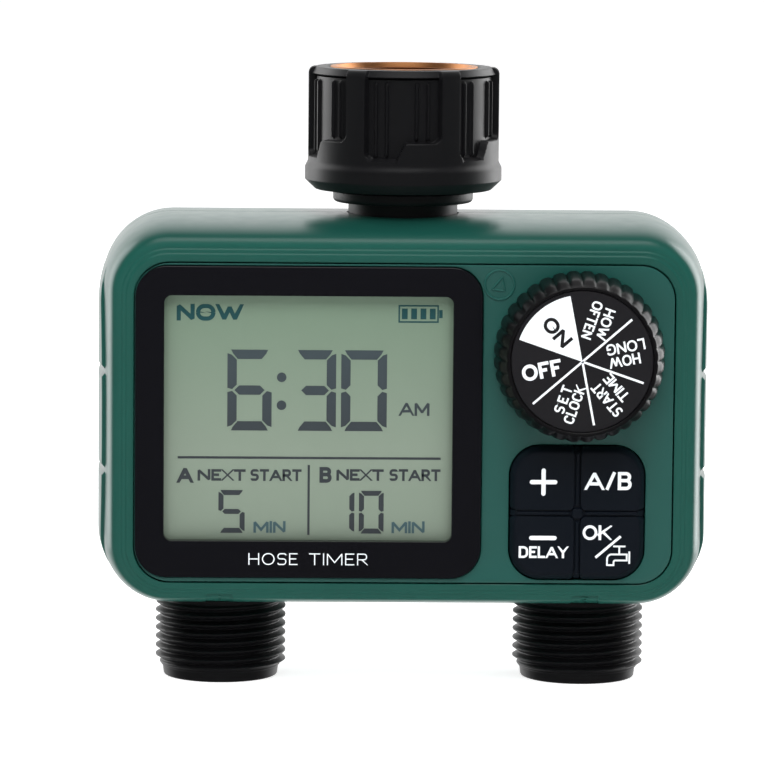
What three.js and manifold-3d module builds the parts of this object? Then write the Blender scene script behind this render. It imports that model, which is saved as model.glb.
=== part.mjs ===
// Two-outlet hose timer for drip irrigation: a tap connector on top, an electronic controller in the middle
// and two threaded outlets below. Millimetres, +Z up, +X to the right of someone facing the dial, -Y towards
// that person. The origin is on the ground under the middle of the timer, which stands on its two outlets.
import * as THREE from 'three';
import { mergeVertices } from 'three/addons/utils/BufferGeometryUtils.js';
import loadManifold from 'manifold-3d';

const wasm = await loadManifold();
wasm.setup();

// ---------------------------------------------------------------- driving dimensions
const CLEARANCE = 0.3; // between neighbouring pieces that rest on each other
const FIT_GAP = 0.1; // radial gap of a turning or plugged-in fit
const WALL = 2.2; // moulded housing wall
const PIPE_THREAD = { crest: 13.2, root: 12.06, pitch: 1.814 }; // G 3/4

const HOUSING = { // the rounded case; halfDepth is measured from the parting plane at y = 0
  halfWidth: 60.4,
  halfDepth: 26,
  bottom: 17,
  top: 94.3,
  cornerRadius: 14,
  roundingPower: 2.5,
  sideRounding: 4.4,
  topRounding: 5.2,
  bottomRounding: 3.4,
  cornerLoss: 4.6,
};
const SIDE_PAD = { proud: 0.65, halfDepth: 20, from: 25, to: 84.3, notches: [44.3, 64], notchHeight: 1 };

const PANEL = { x: [-53.1, 53.1], z: [22.9, 86.1], radius: 6.8, thickness: 3, ledge: 4 };
const WINDOW = { x: [-53.1, 15.3], z: [23.8, 85.6], radius: 6.2, proud: 0.8, thickness: 2.3 };
const LCD_OPENING = { x: [-47.4, 9.5], z: [31.1, 79.8], radius: 1.5 };
const KEYPAD = { x: [21, 47.6], z: [23.8, 50.4], radius: 6, armWidth: 2.2, proud: 1.7, travel: 0.8 };
const DIAL = { x: 34.35, z: 68.3, baseRadius: 16.9, rimRadius: 15, faceRadius: 13.9, height: 11, knurls: 36 };
const DIAL_AXIS = [DIAL.x, 0, DIAL.z];
const SHAFT = { radius: 3, gap: 0.08, sealPocket: 4.8, front: -34.8, back: -18.6 };

const OUTLET_X = 36.3;
const OUTLET = { bore: 9, threadFrom: 2, threadTo: 15.6, endRadius: 11.7, seatBore: 6 };
const LEDGE = { radius: 13.8, from: 20.1, to: 22.4 }; // the ledge that locks an outlet inside the case
const VALVE = { radius: 14, wall: 1.8, floor: 28, rim: 41, seatTop: 38.6, seatRadius: 8.5, gallery: 33.4 };
const SOCKET = { radius: 7.7, inner: 17.5 }; // where the cross arm plugs into a valve body
const DIAPHRAGM = { under: 38.9, over: 41, beadFrom: 41.3, beadTo: 42.5, bead: 13.8, waist: 11.5, disc: 8 };
const BONNET = { from: 42.8, skirtRadius: 10, ceiling: 44.6, roof: 47, guideWall: 2 };
const SOLENOID = {
  tubeRadius: 5, tubeTop: 73, plungerRadius: 3, slide: 0.08, coilRadius: 10.2, coil: [49, 69],
};
const YOKE = { halfWidth: 8, front: -8, back: 12, from: 47.3, to: 70.7, sheet: 1.4 };
const PLUNGER = { from: 41.3, to: 62 };
const SPRING = { radius: 2.25, wire: 0.35, heights: [62.2, 70.8], turns: 4 };
const STEM = { radius: 9, neck: 11, bore: 6, floor: 26, armRadius: 6.5, armBore: 4, armReach: 23.3 };
const COLLAR = { radius: 14.1, from: 96.5, to: 98.7, chamfer: 0.7 };
const TEE_RING = { x: 20.6, groove: 5.4, grooveHalf: 0.6, middle: 6.05, thick: 0.45 };
const FILTER = { radius: 6.6, bottom: 97, wall: 0.6, rim: 0.8 };
const NUT = { radius: 19.2, flange: 19.8, foot: 17.75, bottom: 99.1, top: 123.65, bore: 14.9, floorTop: 101.8 };
const FLANGE = { from: 101.1, to: 103.7, shoulder: 104.6 }; // heights of the wider band round the nut's foot
const LAND = { count: 6, halfWidth: 6.2, first: 28.2 }; // the angles are in degrees
const POCKET = { floorRadius: 17.7, top: 122.4, deep: 105.9, shallow: 109.2, step: 0.45 };
const RIB = { places: [0.22, 0.74], halfWidth: 3, sunk: 0.5 };
const INSERT = { outer: NUT.bore - FIT_GAP, from: 107, to: 123.8, leadIn: 1.2 };
const WASHER = { inner: 8.8, outer: 11.9, from: 105.6, to: 107.4 };

const REAR = { bulgeHalfWidth: 36, bulge: [20.5, 90.4], bulgeRadius: 6, bulgeFace: 34, doorFace: 37 };
const CASE = { halfWidth: 32.4, z: [23.2, 85.4], front: 16.9, wall: 1.4 };
const CELL = {
  radius: 7.15, length: 50.5, y: 26, pitch: 14.8, bottom: 29.05, count: 4, stud: 2.7, studRise: 1,
};
const CONTACT = {
  wide: 4.2, narrow: 2, wire: 0.35, turns: 3, bottom: [24.8, 25.2], top: [83.4, 83.8], halfDepth: 5,
};
const DOOR = { x: [-34.2, 34.2], z: [22, 86.4], radius: 5, inner: REAR.bulgeFace + 0.8, ribs: [30, 54.2, 78] };
const HINGE = { y: 35.2, z: 88.6, pinRadius: 1, knuckleRadius: 1.8, halfLength: 14, ear: 3 };
const SCREW = {
  x: 54.2, z: [27.6, 83.7], boss: 3.6, bossFront: -19.5, bossRear: 24, seat: 14,
  shank: 1.4, tip: -11, head: 2.6, headHeight: 2, slotDepth: 1, slotHalf: 0.35, slotReach: 1.8,
};

const ROUND = 20; // segments of an ordinary round piece
const ROUND_LARGE = 36;
const ROUND_HIDDEN = 16; // pieces inside the housing
const ROUND_SMALL = 12;
const CORNER_STEPS = 2; // half the segments of a quarter-round corner
const REACH = 80; // more than the timer's half width or depth

// ---------------------------------------------------------------- materials
const FINISHES = {
  green: { color: 0x2f5f57, roughness: 0.45, metalness: 0 },
  blackPlastic: { color: 0x1c1c20, roughness: 0.45, metalness: 0 },
  blackGloss: { color: 0x0f1116, roughness: 0.12, metalness: 0 },
  rubber: { color: 0x17171b, roughness: 0.7, metalness: 0 },
  whitePrint: { color: 0xe9eef2, roughness: 0.5, metalness: 0 },
  displayGlass: { color: 0x8e9e84, roughness: 0.25, metalness: 0 },
  circuitBoard: { color: 0x1f5a34, roughness: 0.5, metalness: 0 },
  brass: { color: 0xd9a25a, roughness: 0.3, metalness: 1 },
  copper: { color: 0xb5673a, roughness: 0.4, metalness: 1 },
  steel: { color: 0xa8abb0, roughness: 0.35, metalness: 1 },
  cellWrap: { color: 0x35506b, roughness: 0.35, metalness: 0.1 },
};
const material = (finish) => new THREE.MeshStandardMaterial(FINISHES[finish]);

// ---------------------------------------------------------------- solids from three.js geometry
const MERGE_DISTANCE = 1e-4;

function signedVolume(positions, triangles) {
  const [a, b, c] = [new THREE.Vector3(), new THREE.Vector3(), new THREE.Vector3()];
  let volume = 0;
  for (let t = 0; t < triangles.length; t += 3) {
    a.fromArray(positions, 3 * triangles[t]);
    b.fromArray(positions, 3 * triangles[t + 1]);
    c.fromArray(positions, 3 * triangles[t + 2]);
    volume += a.dot(b.cross(c)) / 6;
  }
  return volume;
}

// A closed geometry becomes a manifold solid: vertices shared, empty triangles dropped, faces outward.
function asSolid(geometry) {
  geometry.deleteAttribute('normal');
  geometry.deleteAttribute('uv');
  const merged = mergeVertices(geometry, MERGE_DISTANCE);
  const positions = merged.getAttribute('position').array;
  const index = merged.getIndex().array;
  const triangles = [];
  for (let t = 0; t < index.length; t += 3) {
    const [a, b, c] = index.slice(t, t + 3);
    if (a !== b && b !== c && c !== a) triangles.push(a, b, c);
  }
  if (signedVolume(positions, triangles) < 0) triangles.reverse();
  return new wasm.Manifold(new wasm.Mesh({
    numProp: 3,
    vertProperties: new Float32Array(positions),
    triVerts: new Uint32Array(triangles),
  }));
}

const join = (...solids) => solids.reduce((whole, piece) => whole.add(piece));
const cut = (body, ...tools) => tools.reduce((rest, tool) => rest.subtract(tool), body);

function block([x0, x1], [y0, y1], [z0, z1]) {
  const box = new THREE.BoxGeometry(x1 - x0, y1 - y0, z1 - z0);
  return asSolid(box.translate((x0 + x1) / 2, (y0 + y1) / 2, (z0 + z1) / 2));
}

// A profile of [radius, height] pairs turned about the named axis through the point `at`.
function turned(profile, { axis = 'z', at = [0, 0, 0], segments = ROUND } = {}) {
  const points = profile.map(([radius, height]) => new THREE.Vector2(radius, height));
  const lathe = new THREE.LatheGeometry(points, segments);
  if (axis === 'z') lathe.rotateX(Math.PI / 2);
  if (axis === 'x') lathe.rotateZ(-Math.PI / 2);
  return asSolid(lathe.translate(...at));
}

function rod(radius, from, to, options) {
  return turned([[0, from], [radius, from], [radius, to], [0, to]], options);
}

function tube(inner, outer, from, to, options) {
  return turned([[inner, from], [outer, from], [outer, to], [inner, to], [inner, from]], options);
}

// An O-ring: a round section of radius `thick` turned at radius `middle`.
function ring(middle, thick, height, options) {
  const section = new THREE.EllipseCurve(middle, height, thick, thick).getPoints(6);
  return turned(section.map(({ x, y }) => [x, y]), options);
}

function roundedOutline([x0, x1], [z0, z1], radius) {
  const outline = new THREE.Shape();
  outline.absarc(x1 - radius, z0 + radius, radius, -Math.PI / 2, 0);
  outline.absarc(x1 - radius, z1 - radius, radius, 0, Math.PI / 2);
  outline.absarc(x0 + radius, z1 - radius, radius, Math.PI / 2, Math.PI);
  outline.absarc(x0 + radius, z0 + radius, radius, Math.PI, 1.5 * Math.PI);
  return outline;
}

// An outline drawn in X and Z, given thickness along Y from `back` to `face`.
function plate(outline, [y0, y1], curveSegments = CORNER_STEPS) {
  const slab = new THREE.ExtrudeGeometry(outline, { depth: y1 - y0, bevelEnabled: false, curveSegments });
  return asSolid(slab.rotateX(Math.PI / 2).translate(0, y1, 0));
}

const grown = ([low, high], by) => [low - by, high + by];
const roundedPlate = ({ x, z, radius }, by, depth) => (
  plate(roundedOutline(grown(x, by), grown(z, by), Math.max(radius + by, 0.2)), depth)
);

// Closed rings of equally many points, skinned one to the next and capped at both ends.
function loft(rings) {
  const count = rings[0].length;
  const corners = rings.flat();
  const triangles = [];
  for (let r = 0; r + 1 < rings.length; r += 1) {
    for (let i = 0; i < count; i += 1) {
      const [a, b] = [r * count + i, r * count + ((i + 1) % count)];
      triangles.push(a, b, b + count, a, b + count, a + count);
    }
  }
  for (const [first, flip] of [[0, true], [(rings.length - 1) * count, false]]) {
    for (let i = 1; i + 1 < count; i += 1) {
      triangles.push(first, first + (flip ? i + 1 : i), first + (flip ? i : i + 1));
    }
  }
  const geometry = new THREE.BufferGeometry();
  geometry.setAttribute('position', new THREE.Float32BufferAttribute(corners.flat(), 3));
  geometry.setIndex(triangles);
  return asSolid(geometry);
}

// A solid screw with a sharp-crested helical thread that fades out at both ends.
function screw({ crest, root, pitch }, from, to, { at = [0, 0], segments = ROUND } = {}) {
  const rows = Math.ceil((to - from) / (pitch / 2)) + 2;
  const fade = pitch / 2;
  const positions = [at[0], at[1], from, at[0], at[1], to];
  for (let i = 0; i < segments; i += 1) {
    const angle = (2 * Math.PI * i) / segments;
    for (let k = 0; k <= rows; k += 1) {
      const z = THREE.MathUtils.clamp(from + (k - 2 + (2 * i) / segments) * (pitch / 2), from, to);
      const grow = k % 2 ? THREE.MathUtils.clamp(Math.min(z - from, to - z) / fade, 0, 1) : 0;
      const radius = root + (crest - root) * grow;
      positions.push(at[0] + radius * Math.cos(angle), at[1] + radius * Math.sin(angle), z);
    }
  }
  // One turn further on, the same helix row is the one two rows up.
  const corner = (i, k) => (
    i < segments ? 2 + i * (rows + 1) + k : 2 + Math.min(k + 2, rows)
  );
  const triangles = [];
  for (let i = 0; i < segments; i += 1) {
    triangles.push(0, corner(i + 1, 0), corner(i, 0), 1, corner(i, rows), corner(i + 1, rows));
    for (let k = 0; k < rows; k += 1) {
      const [a, b, c, d] = [corner(i, k), corner(i + 1, k), corner(i + 1, k + 1), corner(i, k + 1)];
      triangles.push(a, b, c, a, c, d);
    }
  }
  const geometry = new THREE.BufferGeometry();
  geometry.setAttribute('position', new THREE.Float32BufferAttribute(positions, 3));
  geometry.setIndex(triangles);
  return asSolid(geometry);
}

class Helix extends THREE.Curve {
  constructor(centre, startRadius, endRadius, from, to, turns) {
    super();
    Object.assign(this, { centre, startRadius, endRadius, from, to, turns });
  }

  getPoint(t, target = new THREE.Vector3()) {
    const angle = 2 * Math.PI * this.turns * t;
    const radius = THREE.MathUtils.lerp(this.startRadius, this.endRadius, t);
    const z = THREE.MathUtils.lerp(this.from, this.to, t);
    return target.set(this.centre[0] + radius * Math.cos(angle), this.centre[1] + radius * Math.sin(angle), z);
  }
}

const WIRE_STEPS = 8; // lengths of wire in a turn
const WIRE_SIDES = 4;

// A coil spring of round wire; its ends stand half a wire inside the stated heights.
function coilSpring(centre, startRadius, endRadius, [from, to], turns, wire) {
  const path = new Helix(centre, startRadius, endRadius, from + wire, to - wire, turns);
  const section = new THREE.Shape().absarc(0, 0, wire, 0, 2 * Math.PI);
  const steps = Math.round(turns * WIRE_STEPS);
  const extrusion = { steps, extrudePath: path, curveSegments: WIRE_SIDES / 2 };
  return asSolid(new THREE.ExtrudeGeometry(section, extrusion));
}

const timer = new THREE.Group();

function addPiece(name, finish, solid) {
  const { vertProperties, triVerts } = solid.getMesh();
  const geometry = new THREE.BufferGeometry();
  geometry.setAttribute('position', new THREE.BufferAttribute(vertProperties, 3));
  geometry.setIndex(new THREE.BufferAttribute(triVerts, 1));
  geometry.computeVertexNormals();
  const mesh = new THREE.Mesh(geometry, material(finish));
  mesh.name = name;
  timer.add(mesh);
}

const SIDES = [['a', -1], ['b', 1]]; // outlet A is on the left, outlet B on the right

// ---------------------------------------------------------------- housing
// How far the case has drawn in at depth y, from 0 at the parting plane to 1 at the front and back faces.
function roundingAt(y) {
  const reach = Math.abs(y) / HOUSING.halfDepth;
  const { roundingPower: power } = HOUSING;
  return 1 - (1 - reach ** power) ** (1 / power);
}

// The case's outline at depth y, moved outward by `by`.
function housingRing(y, depthScale, by) {
  const drawn = roundingAt(y);
  const halfWidth = HOUSING.halfWidth - HOUSING.sideRounding * drawn + by;
  const bottom = HOUSING.bottom + HOUSING.bottomRounding * drawn - by;
  const top = HOUSING.top - HOUSING.topRounding * drawn + by;
  const radius = HOUSING.cornerRadius - HOUSING.cornerLoss * drawn + by;
  const outline = roundedOutline([-halfWidth, halfWidth], [bottom, top], radius).getPoints(CORNER_STEPS + 1);
  return outline.map((point) => [point.x, y * depthScale, point.y]);
}

const DEPTH_STEPS = [1, 0.99, 0.93, 0.8, 0.55, 0, -0.55, -0.8, -0.93, -0.99, -1];

function caseBody(by, depthScale = 1) {
  return loft(DEPTH_STEPS.map((step) => housingRing(step * HOUSING.halfDepth, depthScale, by)));
}

const FRONT_HALF = block([-REACH, REACH], [-REACH, -CLEARANCE / 2], [0, 2 * REACH]);
const REAR_HALF = block([-REACH, REACH], [CLEARANCE / 2, REACH], [0, 2 * REACH]);
const frontFace = -HOUSING.halfDepth;
const panelBack = frontFace + PANEL.thickness;
const WEB_MARGIN = 1.5; // how far the keypad's web reaches past its opening

// Grip pads that stand proud of both side walls, each split by two notches.
function sidePads() {
  const { proud, halfDepth, from, to, notches, notchHeight } = SIDE_PAD;
  const band = block([-REACH, REACH], [-halfDepth, halfDepth], [from, to]);
  const between = [-HOUSING.halfWidth + WALL, HOUSING.halfWidth - WALL];
  const flanks = cut(band, block(between, [-REACH, REACH], [0, 2 * REACH]));
  const grooves = notches.map((z) => (
    block([-REACH, REACH], [-REACH, REACH], [z - notchHeight / 2, z + notchHeight / 2])
  ));
  return cut(caseBody(proud).intersect(flanks), ...grooves);
}

function screwPlaces() {
  return [-1, 1].flatMap((side) => SCREW.z.map((z) => [side * SCREW.x, z]));
}

// Round holes along Y at all four screws.
function screwHoles(radius, from, to) {
  return screwPlaces().map(([x, z]) => (
    rod(radius, from, to, { axis: 'y', at: [x, 0, z], segments: ROUND_SMALL })
  ));
}

// Posts along Y at all four screws, kept inside the case's wall.
function screwBosses(from, to) {
  return screwPlaces().map(([x, z]) => (
    rod(SCREW.boss, from, to, { axis: 'y', at: [x, 0, z] }).intersect(caseBody(-WALL / 2))
  ));
}

// Holes for the inlet stem's neck in the top wall and for both outlets in the bottom wall.
function pipeHoles() {
  const { top, bottom, cornerRadius } = HOUSING;
  const neckHole = rod(STEM.neck + CLEARANCE, top - cornerRadius, top + cornerRadius);
  const outletHoles = SIDES.map(([, side]) => (
    rod(PIPE_THREAD.root + CLEARANCE, bottom - WALL, bottom + 3 * WALL, { at: [side * OUTLET_X, 0, 0] })
  ));
  return [neckHole, ...outletHoles];
}

const outerCase = join(caseBody(0), sidePads());
const innerCase = caseBody(-WALL, (HOUSING.halfDepth - WALL) / HOUSING.halfDepth);

function frontShell() {
  const ledgeFront = panelBack + CLEARANCE;
  const cavity = innerCase.subtract(block([-REACH, REACH], [-REACH, ledgeFront + WALL], [0, 2 * REACH]));
  const shell = cut(
    outerCase.intersect(FRONT_HALF),
    cavity,
    roundedPlate(PANEL, CLEARANCE, [-REACH, ledgeFront]),
    roundedPlate(PANEL, -PANEL.ledge, [-REACH, 0]),
    roundedPlate(KEYPAD, WEB_MARGIN + CLEARANCE, [panelBack - FIT_GAP, 0]),
    ...pipeHoles(),
  );
  const bosses = screwBosses(SCREW.bossFront, -CLEARANCE / 2);
  return cut(join(shell, ...bosses), ...screwHoles(SCREW.shank + FIT_GAP, SCREW.tip - WALL, WALL));
}

// A stretch of the door hinge from x0 to x1: a round barrel with a web that reaches forward or down.
function hingeBarrel(x0, x1, webY, webZ) {
  const alongPin = { axis: 'x', at: [0, HINGE.y, HINGE.z], segments: ROUND_SMALL };
  const barrel = rod(HINGE.knuckleRadius, x0, x1, alongPin);
  return join(barrel, block([x0, x1], webY, webZ));
}

function hingeEars() {
  const near = HINGE.halfLength + CLEARANCE;
  const far = near + HINGE.ear;
  const webY = [REAR.bulgeFace - WALL / 2, HINGE.y];
  const webZ = [HINGE.z - HINGE.knuckleRadius, HINGE.z + HINGE.knuckleRadius];
  return [[-far, -near], [near, far]].map(([x0, x1]) => hingeBarrel(x0, x1, webY, webZ));
}

function pinBore(radius) {
  const reach = HINGE.halfLength + 2 * HINGE.ear;
  return rod(radius, -reach, reach, { axis: 'x', at: [0, HINGE.y, HINGE.z], segments: ROUND_SMALL });
}

function rearShell() {
  const { bulgeHalfWidth, bulge, bulgeRadius, bulgeFace } = REAR;
  const bulgeBox = { x: [-bulgeHalfWidth, bulgeHalfWidth], z: bulge, radius: bulgeRadius };
  const bulgeSolid = roundedPlate(bulgeBox, 0, [HOUSING.halfDepth - 3 * WALL, bulgeFace]);
  const hollow = roundedPlate(bulgeBox, -WALL, [HOUSING.halfDepth / 2, bulgeFace - WALL]);
  const mouthX = [-CASE.halfWidth - CLEARANCE, CASE.halfWidth + CLEARANCE];
  const mouth = block(mouthX, [HOUSING.halfDepth - 3 * WALL, REACH], grown(CASE.z, CLEARANCE));
  const bosses = screwBosses(CLEARANCE / 2, SCREW.bossRear);
  const shell = cut(join(outerCase.intersect(REAR_HALF), bulgeSolid), innerCase, hollow);
  const near = HINGE.halfLength + CLEARANCE / 2;
  const trough = rod(HINGE.knuckleRadius + CLEARANCE, -near, near, { axis: 'x', at: [0, HINGE.y, HINGE.z] });
  return cut(
    join(shell, ...bosses, ...hingeEars()),
    mouth,
    trough,
    pinBore(HINGE.pinRadius + FIT_GAP / 2),
    ...screwHoles(SCREW.shank + FIT_GAP, -WALL, SCREW.seat + WALL),
    ...screwHoles(SCREW.head + CLEARANCE, SCREW.seat, REACH),
    ...pipeHoles(),
  );
}

addPiece('front_shell', 'green', frontShell());
addPiece('rear_shell', 'green', rearShell());

// Pan-head screws with a crossed slot, driven from the rear into the front shell's bosses.
function housingScrew([x, z]) {
  const { shank, tip, head, headHeight, seat, slotDepth, slotHalf, slotReach } = SCREW;
  const under = seat + FIT_GAP;
  const crown = under + headHeight;
  const body = turned([
    [0, tip], [shank, tip + 1], [shank, under], [head, under], [head, crown - head / 4], [head * 0.7, crown],
    [0, crown],
  ], { axis: 'y', at: [x, 0, z], segments: ROUND_SMALL });
  const slotY = [crown - slotDepth, crown + slotDepth];
  const slots = [[slotReach, slotHalf], [slotHalf, slotReach]].map(([halfX, halfZ]) => (
    block(grown([x, x], halfX), slotY, grown([z, z], halfZ))
  ));
  return cut(body, ...slots);
}
screwPlaces().forEach((place, i) => addPiece(`housing_screw_${i + 1}`, 'steel', housingScrew(place)));

// ---------------------------------------------------------------- control panel
const windowBack = frontFace - WINDOW.proud + WINDOW.thickness;
const KEY_GAP = 0.2;
const SEAL = { thickness: 0.6, inset: 1, width: 2 };
const SHAFT_SEAL = { middle: 3.9, thick: 0.75, pocketDepth: 1.8 };

function facePanel() {
  const windowPocket = roundedPlate(WINDOW, CLEARANCE, [-REACH, windowBack + SEAL.thickness]);
  const lcdOpening = roundedPlate(LCD_OPENING, SEAL.inset, [-REACH, 0]);
  const keypadOpening = roundedPlate(KEYPAD, KEY_GAP, [-REACH, 0]);
  const shaftHole = rod(SHAFT.radius + SHAFT.gap, -REACH, 0, { axis: 'y', at: DIAL_AXIS });
  const sealPocket = rod(SHAFT.sealPocket, panelBack - SHAFT_SEAL.pocketDepth, 0, { axis: 'y', at: DIAL_AXIS });
  const body = roundedPlate(PANEL, 0, [frontFace, panelBack]);
  return cut(body, windowPocket, lcdOpening, keypadOpening, shaftHole, sealPocket);
}

addPiece('face_panel', 'green', facePanel());
addPiece('display_window', 'blackGloss', roundedPlate(WINDOW, 0, [frontFace - WINDOW.proud, windowBack]));

function windowSeal() {
  const depth = grown([windowBack, windowBack + SEAL.thickness], -FIT_GAP);
  const opening = roundedPlate(LCD_OPENING, SEAL.inset, [-REACH, 0]);
  return roundedPlate(LCD_OPENING, SEAL.width, depth).subtract(opening);
}
addPiece('window_seal', 'rubber', windowSeal());

// Display stack behind the panel: glass cell, light guide frame, contact strip and circuit board.
const BOARD = { x: [-46.5, 46.5], z: [25, 85.5], y: [-18, -16.4] };
const LCD_GLASS = { x: [-48.2, 11], z: [29, 81], y: [-22.7, -20.3] };
const LIGHT_FRAME = { insetX: 4, insetZ: 2, railX: 3, railZ: 6 };
const STRIP = { insetX: 9, height: 1.5 };
const CHIP = { x: [8, 18], z: [54, 64], thickness: 1.5 };
const SWITCH = { radius: 8, front: -22.6 };
const spacerDepth = [LCD_GLASS.y[1] + CLEARANCE, BOARD.y[0] - CLEARANCE];
const chipFoot = BOARD.y[1] + CLEARANCE;

function lcdFrame() {
  const [x, z] = [grown(LCD_GLASS.x, -LIGHT_FRAME.insetX), grown(LCD_GLASS.z, -LIGHT_FRAME.insetZ)];
  const opening = block(grown(x, -LIGHT_FRAME.railX), [-REACH, 0], grown(z, -LIGHT_FRAME.railZ));
  return block(x, spacerDepth, z).subtract(opening);
}

function lcdConnector() {
  const foot = LCD_GLASS.z[0] + FIT_GAP;
  return block(grown(LCD_GLASS.x, -STRIP.insetX), spacerDepth, [foot, foot + STRIP.height]);
}

function rotarySwitch() {
  const body = rod(SWITCH.radius, SWITCH.front, spacerDepth[1], { axis: 'y', at: DIAL_AXIS });
  const socketEnd = SHAFT.back + FIT_GAP;
  return body.subtract(rod(SHAFT.radius + SHAFT.gap, -REACH, socketEnd, { axis: 'y', at: DIAL_AXIS }));
}

addPiece('lcd_cell', 'displayGlass', block(LCD_GLASS.x, LCD_GLASS.y, LCD_GLASS.z));
addPiece('lcd_frame', 'whitePrint', lcdFrame());
addPiece('lcd_connector', 'rubber', lcdConnector());
addPiece('main_board', 'circuitBoard', block(BOARD.x, BOARD.y, BOARD.z));
addPiece('controller_chip', 'blackPlastic', block(CHIP.x, [chipFoot, chipFoot + CHIP.thickness], CHIP.z));
addPiece('rotary_switch', 'blackPlastic', rotarySwitch());

// ---------------------------------------------------------------- dial
// A knurled outline: each knurl is a crest between two equal hollows.
function knurledRing(radius, hollow, y) {
  const count = DIAL.knurls * 3;
  return Array.from({ length: count }, (_, i) => {
    const angle = (2 * Math.PI * i) / count;
    const reach = i % 3 === 0 ? radius : radius - hollow;
    return [DIAL.x + reach * Math.cos(angle), y, DIAL.z + reach * Math.sin(angle)];
  });
}

const dialBack = frontFace - 0.4;
const dialFront = frontFace - DIAL.height;
const faceSeat = dialFront + 1.3;

// The knob's outline along its height: radius, depth of the hollows and distance behind the rim's face.
const KNOB_LEVELS = [
  { radius: DIAL.baseRadius, hollow: 0.7, y: dialBack },
  { radius: DIAL.baseRadius - 0.7, hollow: 0.7, y: dialBack - 6 },
  { radius: DIAL.rimRadius, hollow: 0.4, y: dialFront + 0.8 },
  { radius: DIAL.rimRadius - 0.5, hollow: 0.1, y: dialFront },
];
const KNOB_HOLLOW = { outer: 12.5, inner: 5.5, roof: 2 };

function dialKnob() {
  const body = loft(KNOB_LEVELS.map(({ radius, hollow, y }) => knurledRing(radius, hollow, y)));
  const along = (radius, from, to, segments = ROUND_LARGE) => (
    rod(radius, from, to, { axis: 'y', at: DIAL_AXIS, segments })
  );
  const faceRecess = along(DIAL.faceRadius + FIT_GAP, -REACH, faceSeat);
  const hollow = along(KNOB_HOLLOW.outer, faceSeat + KNOB_HOLLOW.roof, 0);
  const underside = hollow.subtract(along(KNOB_HOLLOW.inner, -REACH, 0));
  return cut(body, faceRecess, underside, along(SHAFT.radius + FIT_GAP, SHAFT.front - FIT_GAP, 0));
}

function dialSeal() {
  const { middle, thick, pocketDepth } = SHAFT_SEAL;
  return ring(middle, thick, panelBack - pocketDepth / 2, { axis: 'y', at: DIAL_AXIS, segments: ROUND_HIDDEN });
}

addPiece('dial_knob', 'blackPlastic', dialKnob());
addPiece('dial_face', 'whitePrint', rod(DIAL.faceRadius, dialFront + CLEARANCE, faceSeat - FIT_GAP, {
  axis: 'y', at: DIAL_AXIS, segments: ROUND_LARGE,
}));
addPiece('dial_shaft', 'steel', rod(SHAFT.radius, SHAFT.front, SHAFT.back, { axis: 'y', at: DIAL_AXIS }));
addPiece('dial_seal', 'rubber', dialSeal());

// ---------------------------------------------------------------- keypad
// Four quadrant keys around a raised cross that belongs to the rubber web behind the panel.
const keypadCentre = [(KEYPAD.x[0] + KEYPAD.x[1]) / 2, (KEYPAD.z[0] + KEYPAD.z[1]) / 2];
const keypadFace = frontFace - KEYPAD.proud;
const WEB = { gap: 0.2, thickness: 1.2, armInset: 0.6 };
const KEY = { gap: 0.25, bevel: 0.9, bevelDepth: 1, backGap: 0.1 };
const webFront = panelBack + WEB.gap;
const webDepth = [webFront, webFront + WEB.thickness];

function keypadWeb() {
  const halfArm = KEYPAD.armWidth / 2;
  const [cx, cz] = keypadCentre;
  const depth = [keypadFace + WEB.gap, webFront + WEB.thickness / 2];
  return join(
    roundedPlate(KEYPAD, WEB_MARGIN, webDepth),
    block(grown(KEYPAD.x, -WEB.armInset), depth, [cz - halfArm, cz + halfArm]),
    block([cx - halfArm, cx + halfArm], depth, grown(KEYPAD.z, -WEB.armInset)),
  );
}

function quadrantKey(sideX, sideZ) {
  const gap = KEYPAD.armWidth / 2 + KEY.gap;
  const [cx, cz] = keypadCentre;
  const quarter = block(
    [cx + sideX * gap, cx + sideX * REACH].sort((a, b) => a - b),
    [-REACH, 0],
    [cz + sideZ * gap, cz + sideZ * REACH].sort((a, b) => a - b),
  );
  const back = webFront - KEYPAD.travel - KEY.backGap;
  const rim = roundedPlate(KEYPAD, 0, [keypadFace + KEY.bevelDepth, back]);
  const crown = roundedPlate(KEYPAD, -KEY.bevel, [keypadFace, keypadFace + 1.5 * KEY.bevelDepth]);
  return join(rim, crown).intersect(quarter);
}

addPiece('keypad_web', 'rubber', keypadWeb());
addPiece('key_plus', 'rubber', quadrantKey(-1, 1));
addPiece('key_outlet', 'rubber', quadrantKey(1, 1));
addPiece('key_minus', 'rubber', quadrantKey(-1, -1));
addPiece('key_ok', 'rubber', quadrantKey(1, -1));

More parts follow.
